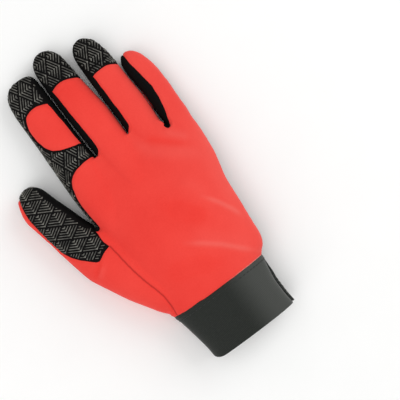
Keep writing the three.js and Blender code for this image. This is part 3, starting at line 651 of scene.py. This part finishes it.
def aroundLimb(limb, u, v, fromTop):
    # the point that lies u across, measured round the limb, and v along it
    rows = limb["fine"]
    if not limb["length"][0] < v < limb["length"][-1]:
        return None
    along = np.interp(v, limb["length"], np.arange(len(rows)))
    row = [np.interp(along, np.arange(len(rows)), rows[:, k]) for k in range(5)]
    key = round(along * 4)
    if key not in limb["rounds"]:
        angles = fullRound + (np.pi / 2 if fromTop else -np.pi / 2)
        x, z = sectionPoints(row, angles)
        way = np.concatenate([[0], np.cumsum(np.hypot(np.diff(x), np.diff(z)))])
        limb["rounds"][key] = (angles, way)
    angles, way = limb["rounds"][key]
    full = way[-1]
    s = u - (row[1] + row[2]) / 2
    if abs(s) > full * printed["mostRound"] or full < printed["leastRound"]:
        return None
    # from the bottom the angle grows towards the little finger, from the top it shrinks
    if fromTop:
        s = -s
    angle = np.interp(s % full, way, angles)
    x, z = sectionPoints(row, np.array([angle]))
    return Vector((x[0], row[0], z[0])), s / full


def limbPlace(name, label, y, share, fromTop=False, plainSide=None):
    # y along the limb and share of the way round it are from and to. The plain side, -1 or 1, is the one
    # beside another finger, and 0 is for both
    limb = dict(limbs[name])
    limb["length"] = limbTable(limb, printed["level"][name])
    limb["rounds"] = {}
    wanted = panelNames.index(label)

    def place(u, v):
        found = aroundLimb(limb, u, v, fromTop)
        if found is None or not share[0] <= found[1] <= share[1] or not y[0] <= found[0].y <= y[1]:
            return None
        at, normal, face, gap = finalTree.find_nearest(found[0])
        if gap > printed["reach"] or owner[face] != wanted or faceSeam[face] < printed["seamMargin"]:
            return None
        # print left off where shade falls on the thumb's inner side, partly a real plain strip
        if name == "thumb" and normal.x > printed["thumbShadedPlainSide"]:
            return None
        if name != "thumb" and at.y > printed["tipFrom"] and normal.z > printed["tipSlope"]:
            return None
        if plainSide is not None and normal.z > printed["underSlope"]:
            if plainSide == 0 or plainSide * normal.x > printed["sideSlope"]:
                return None
        return at, normal

    return place


def tipPlace(name, label):
    # the tip's upper side, printed as seen from above and joined on to the print wrapped round the finger
    limb = limbs[name]
    fromTop = label != "palm_panel"
    vStart = np.interp(printed["tipFrom"], limb["fine"][:, 0], limbTable(limb, printed["level"][name]))
    wanted = panelNames.index(label)
    # how far round the limb the top's middle lies at the start of the tip
    row = [np.interp(printed["tipFrom"], limb["fine"][:, 0], limb["fine"][:, k]) for k in range(5)]
    x, z = sectionPoints(row, fullRound)
    halfRound = np.hypot(np.diff(x), np.diff(z)).sum() / 2
    centre = (row[1] + row[2]) / 2

    def place(u, v):
        y = v - vStart + printed["tipFrom"]
        x = u if fromTop else centre - (u - centre + halfRound)
        if y < printed["tipFrom"]:
            return None
        at, normal, face, gap = finalTree.ray_cast(Vector((x, y, rayStart)), Vector((0, 0, -1)))
        if at is None or owner[face] != wanted or faceSeam[face] < printed["seamMargin"]:
            return None
        return None if normal.z < printed["tipSlope"] else (at, normal)

    return place


def palmPlace(u, v):
    # flat from the thumb's side to where the palm begins to turn up
    level = printed["level"]
    atWeb = min(abs(u - web) for web in palm["webs"]) < palm["webHalfWidth"]
    toY = palm["webToY"] if atWeb else level["index"]
    lowToX, highToX = palm["toX"]
    toX = highToX if v >= level["hand"] else lowToX
    if u > toX or not palm["fromY"] <= v <= toY:
        return None
    at, normal, face, gap = finalTree.ray_cast(Vector((u, v, -rayStart)), Vector((0, 0, 1)))
    if at is None or owner[face] != panelNames.index("palm_panel"):
        return None
    if normal.z > palm["slope"] or faceSeam[face] < printed["seamMargin"]:
        return None
    return at, normal


def sidewards(place):
    # the thumb's chevrons point along the thumb, to the wrist
    def turned(u, v):
        return place(v, -u)
    return turned


def chevronLines(u, v):
    # the lattice over those stretches, each line as points u, v and 1 at its vertex or 0
    pitch, rowStep = printed["pitch"], printed["rowStep"]
    lean = math.radians(printed["halfAngle"])
    back, out = math.cos(lean), math.sin(lean)
    side = rowStep / out
    lines = []
    for j in range(math.floor(v[0] / rowStep) - 1, math.ceil(v[1] / rowStep) + 2):
        for i in range(math.floor(u[0] / pitch) - 1, math.ceil(u[1] / pitch) + 2):
            tipU = i * pitch + (j % 2) * pitch / 2
            tipV = j * rowStep
            for k in range(printed["chevrons"]):
                behind = printed["tipMargin"] + printed["chevronStep"] * k
                arm = side * (1 - behind / pitch) - printed["endGap"]
                count = max(1, round(arm / printed["sample"]))
                lengths = [arm * n / count for n in range(count, 0, -1)]
                vertexU = tipU - behind
                line = [(vertexU - back * s, tipV - out * s, 0) for s in lengths]
                line.append((vertexU, tipV, 1))
                line += [(vertexU - back * s, tipV + out * s, 0) for s in reversed(lengths)]
                lines.append(line)
    return lines


def ridge(stations, store):
    # a low rounded line along the stations, closed below and at its ends
    half, height, tiny = printed["lineWidth"] / 2, printed["lineHeight"], 1e-6
    start = len(store["points"])
    for k, (at, normal, thick) in enumerate(stations):
        ahead = stations[min(k + 1, len(stations) - 1)][0] - at
        behind = at - stations[max(k - 1, 0)][0]
        if ahead.length > tiny:
            ahead = ahead.normalized()
        if behind.length > tiny:
            behind = behind.normalized()
        along = ahead + behind
        if along.length < tiny:
            return
        along = along.normalized()
        across = normal.cross(along).normalized()
        bigger = printed["vertexWidth"] if thick else 1
        widen = bigger / max(printed["sharpest"], along.dot(ahead if ahead.length > 0 else behind))
        crown, top, low = half * printed["crown"], height * bigger, -printed["sunk"]
        for reach, rise in ((-half, low), (-crown, top), (crown, top), (half, low)):
            store["points"].append(at + across * reach * widen + normal * rise)
            store["thick"].append(float(thick))
    for k in range(len(stations) - 1):
        a, b = start + 4 * k, start + 4 * (k + 1)
        for n in range(4):
            m = (n + 1) % 4
            store["faces"].append((a + n, b + n, b + m, a + m))
    last = start + 4 * (len(stations) - 1)
    store["faces"].append((start, start + 1, start + 2, start + 3))
    store["faces"].append((last + 3, last + 2, last + 1, last))


def printPiece(name, regions):
    store = {"points": [], "faces": [], "thick": []}
    for lines, place in regions:
        for line in lines:
            run = []
            for u, v, thick in line + [(None, None, 0)]:
                found = place(u, v) if u is not None else None
                if found is not None:
                    run.append((*found, thick))
                    continue
                if len(run) > 1:
                    ridge(run, store)
                run = []
    piece = meshFrom(name, inFrame([tuple(p) for p in store["points"]]), store["faces"])
    # tells the silicone where the print is thickest
    thickness = piece.data.attributes.new("thick", "FLOAT", "POINT")
    thickness.data.foreach_set("value", store["thick"])
    editAll(piece, bpy.ops.mesh.normals_make_consistent, inside=False)
    bpy.ops.object.shade_smooth_by_angle(angle=math.radians(printed["smoothAngle"]))
    print("glove:", name, len(store["faces"]), "faces")
    return piece


fingerLines = chevronLines(u=(-110, 110), v=(150, 275))
thumbLines = chevronLines(u=(-200, -80), v=(-140, 20))
fingerY = (158, 275)
capY = (200, 275)
thumbY = (90, 200)
allRound = (-0.5, 0.5)
pieces["palm_print"] = printPiece("palm_print", [
    (chevronLines(u=(-80, 62), v=(36, 162)), palmPlace),
    (chevronLines(u=(32, 100), v=(36, 138)),
     limbPlace("hand", "palm_panel", y=(40, 127), share=(0.118, 0.5))),
    (chevronLines(u=(50, 100), v=(115, 162)),
     limbPlace("little", "palm_panel", y=(127, 158), share=(0.097, 0.5))),
    (fingerLines, limbPlace("index", "palm_panel", y=fingerY, share=(-0.86, 0.22))),
    (fingerLines, tipPlace("index", "palm_panel")),
    (chevronLines(u=(-110, -20), v=(108, 162)),
     limbPlace("index", "palm_panel", y=(118, 158), share=(-0.5, -0.16))),
    (fingerLines, limbPlace("middle", "palm_panel", y=fingerY, share=allRound, plainSide=0)),
    (fingerLines, limbPlace("ring", "palm_panel", y=fingerY, share=allRound, plainSide=0)),
    (fingerLines, limbPlace("little", "palm_panel", y=fingerY, share=allRound, plainSide=-1)),
])
for finger in ("middle", "ring"):
    cap = finger + "_tip_cap"
    pieces[finger + "_cap_print"] = printPiece(finger + "_cap_print", [
        (fingerLines, limbPlace(finger, cap, y=capY, share=allRound, fromTop=True)),
        (fingerLines, tipPlace(finger, cap)),
    ])
pieces["thumb_print"] = printPiece("thumb_print", [
    (thumbLines,
     sidewards(limbPlace("thumb", "thumb_palm_panel", y=thumbY, share=(-0.27, 0.25), fromTop=True))),
    (thumbLines, sidewards(limbPlace("thumb", "thumb_palm_panel", y=thumbY, share=(-0.25, 0.27)))),
])

# Strap pieces on the palm side of the cuff, laid on the cuff's own curve
cuffCo, cuffTris = readMesh(nodes["cuff"])
cuffTree = treeOf(cuffCo / mm - shift, cuffTris)
leastStrapHeight = 0.02      # above the floor
strapEvening = (2, 0.5)      # last passes, and their strength
straps = {
    "wrist_strap": {"voxel": 0.5, "smoothing": 3, "slot": "strap_webbing"},
    "strap_rim": {"voxel": 0.36, "smoothing": 7, "slot": "strap_rim"},
    "strap_field": {"voxel": 0.42, "smoothing": 3, "slot": "strap_field"},
    "strap_anchor": {"voxel": 0.45, "smoothing": 3, "slot": "strap_anchor"},
}
for name, strap in straps.items():
    co, tris = readMesh(nodes[name])
    piece = meshFrom(name + "_soft", co / mm - shift, tris)
    editAll(piece, bpy.ops.mesh.remove_doubles, threshold=0.001)
    remesh(piece, strap["voxel"])
    co, quads = readMesh(piece)
    strapEdges = edgesOf(quads)[0]
    for i, p in enumerate(co):
        on = cuffTree.find_nearest(Vector(p))[0]
        to = finalTree.find_nearest(on)[0]
        co[i] += np.array(to - on)
    co = smoothed(co, strapEdges, strap["smoothing"])
    for _ in range(strapEvening[0]):
        co = relaxed(co, strapEdges, strapEvening[1])
    co[:, 2] = np.maximum(co[:, 2], leastStrapHeight)
    piece.data.vertices.foreach_set("co", inFrame(co).ravel())
    piece.data.update()
    bpy.ops.object.shade_smooth_by_angle(angle=math.radians(skin["smoothAngle"]))
    pieces[name] = piece
    print("glove:", name, len(quads), "faces")

# Stitches: one is modelled and copied along each row
stitching = {
    "length": 2.3,
    "gap": 1.0,
    "thick": 0.62,
    "flatness": 0.8,         # height to width
    "proud": 0.1,
    "probe": 0.8,            # the slope is read this far to both sides of a stitch's middle
    "cuffRow": 37.6,         # height of the row below the cuff's top seam
    "perDegree": 0.55,       # thread path for each degree round the cuff
}
bpy.ops.object.select_all(action="DESELECT")
bpy.ops.mesh.primitive_uv_sphere_add(segments=8, ring_count=6, radius=0.5, location=(0, 0, 0))
oneStitch = bpy.context.active_object
editAll(oneStitch, bpy.ops.transform.resize,
        value=(stitching["length"], stitching["thick"], stitching["thick"] * stitching["flatness"]))
stitchPoints, stitchFaces = readMesh(oneStitch)
bpy.data.objects.remove(oneStitch)


def stitchRow(path, place, store):
    # stitches end to end along a path given as x, y points
    path = np.array(path, float)
    lengths = np.concatenate([[0], np.cumsum(np.linalg.norm(np.diff(path, axis=0), axis=1))])
    step = stitching["length"] + stitching["gap"]
    for n in range(int(lengths[-1] / step)):
        middle = (n + 0.5) * step
        found = []
        for d in (-stitching["probe"], 0, stitching["probe"]):
            found.append(place(*(np.interp(middle + d, lengths, path[:, k]) for k in (0, 1))))
        if any(f is None for f in found):
            continue
        along = (found[2][0] - found[0][0]).normalized()
        at, normal = found[1]
        across = normal.cross(along).normalized()
        up = along.cross(across).normalized()
        start = len(store["points"])
        for p in stitchPoints:
            store["points"].append(at + along * p[0] + across * p[1] + up * (p[2] + stitching["proud"]))
        store["faces"] += [tuple(i + start for i in f) for f in stitchFaces]


def roundCuff(way, y):
    # the point that far round the cuff and at that height
    hand = limbs["hand"]["fine"]
    row = [np.interp(y, hand[:, 0], hand[:, k]) for k in range(5)]
    x, z = sectionPoints(row, np.array([math.radians(way / stitching["perDegree"])]))
    at, normal, face, gap = finalTree.find_nearest(Vector((x[0], y, z[0])))
    return at, normal


def stitchPiece(name, rows):
    store = {"points": [], "faces": []}
    for path, place in rows:
        stitchRow(path, place, store)
    piece = meshFrom(name, inFrame([tuple(p) for p in store["points"]]), store["faces"])
    onlyThis(piece)
    bpy.ops.object.shade_smooth()
    pieces[name] = piece


def fromBelow(name):
    co, quads = readMesh(pieces[name])
    tree = treeOf(co / mm - shift, quads)

    def place(x, y):
        at, normal, face, gap = tree.ray_cast(Vector((x, y, -rayStart)), Vector((0, 0, 1)))
        return None if at is None else (at, normal)

    return place


strapPlan = {
    "x": (-24.6, 31.6),
    "y": (0.6, 40.0),
    "roundness": 19.0,
    "bow": (0.4, 0.5),           # how full the round end's curves are, along x and y
    "stitchInset": 3.8,
    "curveSteps": 24,
    "anchorRows": (34.3, 37.6),  # x of the rows over the anchor
    "anchorY": (1.6, 39.0),
}


def strapOutline(inset, count):
    left, right = strapPlan["x"][0] + inset, strapPlan["x"][1]
    low, high = strapPlan["y"][0] + inset, strapPlan["y"][1] - inset
    roundness = strapPlan["roundness"] - inset
    start = left + roundness
    nearX, nearY = left + roundness * strapPlan["bow"][0], roundness * strapPlan["bow"][1]
    middle = (low + high) / 2
    curves = [
        ((right, high), (start, high), (start, high), (start, high)),
        ((start, high), (nearX, high), (left, high - nearY), (left, middle)),
        ((left, middle), (left, low + nearY), (nearX, low), (start, low)),
        ((start, low), (start, low), (start, low), (right, low)),
    ]
    path = []
    for a, b, c, d in curves:
        for t in np.linspace(0, 1, count, endpoint=False):
            weights = ((1 - t) ** 3, 3 * t * (1 - t) ** 2, 3 * t * t * (1 - t), t ** 3)
            path.append(tuple(sum(w * q[k] for w, q in zip(weights, (a, b, c, d))) for k in (0, 1)))
    path.append((right, low))
    return path


fullTurn = 360 * stitching["perDegree"]
cuffRow = [(0, stitching["cuffRow"]), (fullTurn, stitching["cuffRow"])]
stitchPiece("cuff_stitches", [(cuffRow, roundCuff)])
strapRows = [(strapOutline(strapPlan["stitchInset"], strapPlan["curveSteps"]), fromBelow("wrist_strap"))]
overAnchor = fromBelow("strap_anchor")
for x in strapPlan["anchorRows"]:
    strapRows.append(([(x, y) for y in strapPlan["anchorY"]], overAnchor))
stitchPiece("strap_stitches", strapRows)
bpy.data.objects.remove(skinObject)
print("glove: stitches")


# Materials
def linear(code):
    parts = [int(code[i:i + 2], 16) / 255 for i in (1, 3, 5)]
    return tuple(c / 12.92 if c <= 0.04045 else ((c + 0.055) / 1.055) ** 2.4 for c in parts) + (1.0,)


def add(tree, kind, settings=None, links=None):
    # settings are the node's own or its sockets', and sockets go by name or number
    made = tree.nodes.new(kind)
    for key, value in (settings or {}).items():
        if isinstance(key, int) or key in made.inputs:
            made.inputs[key].default_value = value
        else:
            setattr(made, key, value)
    for key, source in (links or {}).items():
        tree.links.new(source, made.inputs[key])
    return made


# Sockets of a Mix node that mixes colours
mixShare, mixLow, mixHigh, mixOut = 0, 6, 7, 2

# Colours in sRGB, and sizes of the patterns in millimetres. Loops, pebbles, naps, pits and twists are finer on
# the real glove and drawn as coarse as they need to be to show
looks = {
    # the knit's pale colour is a painted highlight and its deeper one painted shade
    "knit": {"low": "#EA372E", "high": "#F2443A", "paintedLight": "#F59A90", "paintedShade": "#D01810",
             "seam": "#B42420", "patch": 45.5, "fleck": 1.11, "loop": 0.91},
    "leather": {"low": "#090909", "high": "#121111", "cloud": 16.7, "pebble": 0.667},
    "silicone": {"low": "#2C2C29", "high": "#87857D", "wearAndPaintedSheen": 3.85, "vertexShare": 0.6},
    "suede": {"low": "#060606", "high": "#0F0F0F", "napAndPaintedLight": 1.43},
    # the elastic's third colour is a painted highlight
    "elastic": {"low": "#1C1F1C", "high": "#343733", "paintedLight": "#474946", "rib": 0.98, "fuzz": 1.25},
    "webbing": {"low": "#0C0C0C", "high": "#242424", "thread": 1.08},
    "binding": {"low": "#272927", "high": "#444644", "thread": 1.28},
    "rim": {"low": "#6C6863", "high": "#807C76", "flow": 22.2, "pit": 0.714, "relief": 0.25,
            "roughness": 0.46},
    "field": {"low": "#4C4A47", "high": "#5E5B57", "flow": 22.2, "pit": 0.714, "relief": 0.05,
              "roughness": 0.16},
    "cuffThread": {"low": "#1A1C1A", "high": "#262826", "twist": 0.667},
    "strapThread": {"low": "#4E4C49", "high": "#6C6A66", "twist": 0.667},
    "paper": {"low": "#FBFBFA", "high": "#FEFEFD", "speck": 33.3},
}


def perMetre(size):
    # noise scale that gives features of that size in millimetres
    return 1 / (size * mm)


def wavesPerMetre(size):
    # wave scale that gives bands that far apart in millimetres; at scale 1 a wave runs 20 radians a metre
    return 2 * math.pi / 20 / (size * mm)


def newMaterial(name):
    made = bpy.data.materials.new(name)
    made.use_nodes = True
    made.node_tree.nodes.clear()
    # patterns follow the Object coordinates
    at = {"Vector": add(made.node_tree, "ShaderNodeTexCoord").outputs["Object"]}
    return made, made.node_tree, at


def surfaced(tree, look, share, settings, relief=None, over=None):
    # the look's two colours mixed by a share, further colours laid over them, and the shader. A relief is its
    # strength, its depth in millimetres and its pattern
    mix = add(tree, "ShaderNodeMix",
              {"data_type": "RGBA", mixLow: linear(look["low"]), mixHigh: linear(look["high"])},
              {mixShare: share})
    for code, part in over or []:
        mix = add(tree, "ShaderNodeMix", {"data_type": "RGBA", mixHigh: linear(code)},
                  {mixShare: part, mixLow: mix.outputs[mixOut]})
    links = {"Base Color": mix.outputs[mixOut]}
    if relief:
        strength, depth, height = relief
        raised = {"Strength": strength, "Distance": depth * mm}
        links["Normal"] = add(tree, "ShaderNodeBump", raised, {"Height": height}).outputs["Normal"]
    shader = add(tree, "ShaderNodeBsdfPrincipled", settings, links)
    add(tree, "ShaderNodeOutputMaterial", links={"Surface": shader.outputs["BSDF"]})


def redStretchKnit():
    # Brushed spandex knit: dull, evenly red, with a faint fine loop grain, soft lighter patches, painted
    # highlights and painted shade
    look = looks["knit"]
    made, tree, at = newMaterial("red_stretch_knit")
    broad = add(tree, "ShaderNodeTexNoise",
                {"Scale": perMetre(look["patch"]), "Detail": 3.0, "Roughness": 0.55}, at)
    fine = add(tree, "ShaderNodeTexNoise", {"Scale": perMetre(look["fleck"]), "Detail": 2.0}, at)
    both = add(tree, "ShaderNodeMath", {"operation": "MULTIPLY_ADD", 1: 0.35},
               {0: fine.outputs["Fac"], 2: broad.outputs["Fac"]})
    share = add(tree, "ShaderNodeMapRange", {"From Min": 0.45, "From Max": 0.95}, {"Value": both.outputs[0]})
    # painted light: the colour is lightened as a painted highlight where the attribute is above nought, and
    # deepened as painted shade below it
    napAndPaintedLight = add(tree, "ShaderNodeAttribute", {"attribute_name": "paintedLight"}).outputs["Fac"]
    paintedShade = add(tree, "ShaderNodeMath", {"operation": "MULTIPLY", "use_clamp": True, 1: -1}, {0: napAndPaintedLight})
    line = add(tree, "ShaderNodeAttribute", {"attribute_name": "seam"}).outputs["Fac"]
    loops = add(tree, "ShaderNodeTexVoronoi", {"Scale": perMetre(look["loop"])}, at)
    surfaced(tree, look, share.outputs[0],
             {"Roughness": 0.86, "Specular IOR Level": 0.22, "Sheen Weight": 0.07, "Sheen Roughness": 0.5},
             (0.25, 0.25, loops.outputs["Distance"]),
             [(look["paintedLight"], napAndPaintedLight), (look["paintedShade"], paintedShade.outputs[0]), (look["seam"], line)])
    return made


def gripLeather():
    # Black microfibre leather: matte with a fine pebble
    look = looks["leather"]
    made, tree, at = newMaterial("black_microfibre_leather")
    pebble = add(tree, "ShaderNodeTexVoronoi", {"Scale": perMetre(look["pebble"])}, at)
    cloud = add(tree, "ShaderNodeTexNoise", {"Scale": perMetre(look["cloud"]), "Detail": 4.0}, at)
    surfaced(tree, look, cloud.outputs["Fac"], {"Roughness": 0.75, "Specular IOR Level": 0.06},
             (0.35, 0.2, pebble.outputs["Distance"]))
    return made


def siliconePrint():
    # Screen-printed silicone: grey lines with a satin shine, darker where thin, lightest where thick, and
    # patchy in brightness, partly from wear and partly painted sheen
    look = looks["silicone"]
    made, tree, at = newMaterial("printed_silicone")
    # patches of brightness: partly wear, partly painted sheen
    wearAndPaintedSheen = add(tree, "ShaderNodeTexNoise",
               {"Scale": perMetre(look["wearAndPaintedSheen"]), "Detail": 4.0, "Roughness": 0.6}, at)
    ramp = add(tree, "ShaderNodeMapRange", {"From Min": 0.35, "From Max": 0.65},
               {"Value": wearAndPaintedSheen.outputs["Fac"]})
    thick = add(tree, "ShaderNodeAttribute", {"attribute_name": "thick"})
    total = add(tree, "ShaderNodeMath", {"operation": "MULTIPLY_ADD", 1: look["vertexShare"]},
                {0: thick.outputs["Fac"], 2: ramp.outputs[0]})
    share = add(tree, "ShaderNodeMath", {"operation": "MULTIPLY", 1: 1 / (1 + look["vertexShare"])},
                {0: total.outputs[0]})
    surfaced(tree, look, share.outputs[0], {"Roughness": 0.45, "IOR": 1.38})
    return made


def sideSuede():
    # Thin plain synthetic suede between the fingers: nearly black
    look = looks["suede"]
    made, tree, at = newMaterial("black_side_suede")
    # on the suede this is only its nap
    napAndPaintedLight = add(tree, "ShaderNodeTexNoise", {"Scale": perMetre(look["napAndPaintedLight"]), "Detail": 3.0}, at)
    surfaced(tree, look, napAndPaintedLight.outputs["Fac"], {"Roughness": 0.9, "Specular IOR Level": 0.08},
             (0.2, 0.2, napAndPaintedLight.outputs["Fac"]))
    return made


def cuffElastic():
    # Knitted elastic: charcoal, fine upright ribs with a soft fuzz, and a painted highlight towards the little
    # finger's side
    look = looks["elastic"]
    made, tree, at = newMaterial("charcoal_knitted_elastic")
    ribs = add(tree, "ShaderNodeTexWave", {"bands_direction": "X", "Scale": wavesPerMetre(look["rib"]),
                                           "Distortion": 0.4, "Detail": 1.0}, at)
    fuzz = add(tree, "ShaderNodeTexNoise", {"Scale": perMetre(look["fuzz"]), "Detail": 3.0}, at)
    share = add(tree, "ShaderNodeMath", {"operation": "MULTIPLY"},
                {0: ribs.outputs["Fac"], 1: fuzz.outputs["Fac"]})
    # the cuff's painted highlight
    napAndPaintedLight = add(tree, "ShaderNodeAttribute", {"attribute_name": "paintedLight"})
    surfaced(tree, look, share.outputs[0],
             {"Roughness": 0.9, "Specular IOR Level": 0.2, "Sheen Weight": 0.2},
             (0.3, 0.3, share.outputs[0]), [(look["paintedLight"], napAndPaintedLight.outputs["Fac"])])
    return made


def wovenTape(name, look):
    # Woven tape: crossing threads, over one and under the next
    made, tree, at = newMaterial(name)
    threads = []
    for direction in ("X", "Y"):
        bands = {"bands_direction": direction, "Scale": wavesPerMetre(2 * look["thread"])}
        threads.append(add(tree, "ShaderNodeTexWave", bands, at).outputs["Fac"])
    share = add(tree, "ShaderNodeMath", {"operation": "MULTIPLY"}, {0: threads[0], 1: threads[1]})
    surfaced(tree, look, share.outputs[0], {"Roughness": 0.88}, (0.4, 0.3, share.outputs[0]))
    return made


def mouldedRubber(name, look):
    # Moulded thermoplastic rubber: even grey, satin or glossy, with a faint flow mark
    made, tree, at = newMaterial(name)
    flow = add(tree, "ShaderNodeTexNoise", {"Scale": perMetre(look["flow"]), "Detail": 3.0}, at)
    pits = add(tree, "ShaderNodeTexNoise", {"Scale": perMetre(look["pit"]), "Detail": 2.0}, at)
    surfaced(tree, look, flow.outputs["Fac"], {"Roughness": look["roughness"], "IOR": 1.5},
             (look["relief"], 0.1, pits.outputs["Fac"]))
    return made


def spunThread(name, look):
    # Polyester sewing thread: a twist along the stitch
    made, tree, at = newMaterial(name)
    twist = add(tree, "ShaderNodeTexNoise", {"Scale": perMetre(look["twist"]), "Detail": 2.0}, at)
    surfaced(tree, look, twist.outputs["Fac"], {"Roughness": 0.6})
    return made


def palePaper():
    # Matte background paper, very slightly uneven
    look = looks["paper"]
    made, tree, at = newMaterial("pale_paper")
    speck = add(tree, "ShaderNodeTexNoise", {"Scale": perMetre(look["speck"]), "Detail": 2.0}, at)
    surfaced(tree, look, speck.outputs["Fac"], {"Roughness": 0.9})
    return made


finishes = {
    "red_stretch": redStretchKnit(),
    "grip_leather": gripLeather(),
    "side_leather": sideSuede(),
    "cuff_elastic": cuffElastic(),
    "strap_webbing": wovenTape("black_woven_tape", looks["webbing"]),
    "strap_rim": mouldedRubber("grey_moulded_rim", looks["rim"]),
    "strap_field": mouldedRubber("grey_gloss_field", looks["field"]),
    "strap_anchor": wovenTape("charcoal_binding_tape", looks["binding"]),
}
silicone = siliconePrint()
threads = {
    "cuff_stitches": (spunThread("charcoal_thread", looks["cuffThread"]), "cuff_elastic"),
    "strap_stitches": (spunThread("grey_thread", looks["strapThread"]), "strap_webbing"),
}

for name, slotName in panels.items():
    piece = pieces[name]
    piece.data.materials.append(finishes[slotName])
    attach(piece, "root")
    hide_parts(name)
for name, strap in straps.items():
    piece = pieces[name]
    piece.data.materials.clear()
    piece.data.materials.append(finishes[strap["slot"]])
    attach(piece, "root")
    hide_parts(name)
for name in ("palm_print", "thumb_print", "middle_cap_print", "ring_cap_print"):
    pieces[name].data.materials.append(silicone)
    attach(pieces[name], "root")
for name, (thread, slotName) in threads.items():
    pieces[name].data.materials.append(thread)
    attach(pieces[name], "root")

# Stage: a pale floor, soft studio light and the photograph's straight-down view, in metres
stage = {
    "floorSize": 4.0,
    "view": (0.03791, -0.02715),   # the camera stands over this point
    "turn": -37.0,               # of the camera, so that the glove lies as in the photograph
    "lens": 100.0,
    "sensor": 36.0,
    "frameWidth": 0.284,
    "viewHeight": 0.018,
    "worldLight": 0.5,
    # place, size, power
    "lights": {
        "key_light": ((1.1, 0.1, 0.8), 1.0, 6.5),
        "top_light": ((-0.3, 0.1, 1.7), 1.8, 9),
        "fill_light": ((-1.1, -0.5, 0.9), 1.4, 6),
    },
}
bpy.ops.object.select_all(action="DESELECT")
bpy.ops.mesh.primitive_plane_add(size=stage["floorSize"], location=(0, 0, 0))
floor = bpy.context.active_object
floor.name = "floor"
floor.data.materials.append(palePaper())

cameraData = bpy.data.cameras.new("camera")
cameraData.lens = stage["lens"]
cameraData.sensor_width = stage["sensor"]
camera = bpy.data.objects.new("camera", cameraData)
bpy.context.scene.collection.objects.link(camera)
distance = stage["lens"] / stage["sensor"] * stage["frameWidth"]
camera.location = (*stage["view"], stage["viewHeight"] + distance)
camera.rotation_euler = (0, 0, math.radians(stage["turn"]))
bpy.context.scene.camera = camera

for name, (place, size, power) in stage["lights"].items():
    data = bpy.data.lights.new(name, "AREA")
    data.shape = "SQUARE"
    data.size = size
    data.energy = power
    lamp = bpy.data.objects.new(name, data)
    bpy.context.scene.collection.objects.link(lamp)
    lamp.location = place
    lamp.rotation_euler = (-Vector(place)).to_track_quat("-Z", "Y").to_euler()
world = bpy.data.worlds.new("studio")
world.use_nodes = True
background = world.node_tree.nodes["Background"]
background.inputs["Color"].default_value = (1, 1, 1, 1)
background.inputs["Strength"].default_value = stage["worldLight"]
bpy.context.scene.world = world
# plain studio colours, as a product picture has them
bpy.context.scene.view_settings.view_transform = "Standard"

print("glove: done")
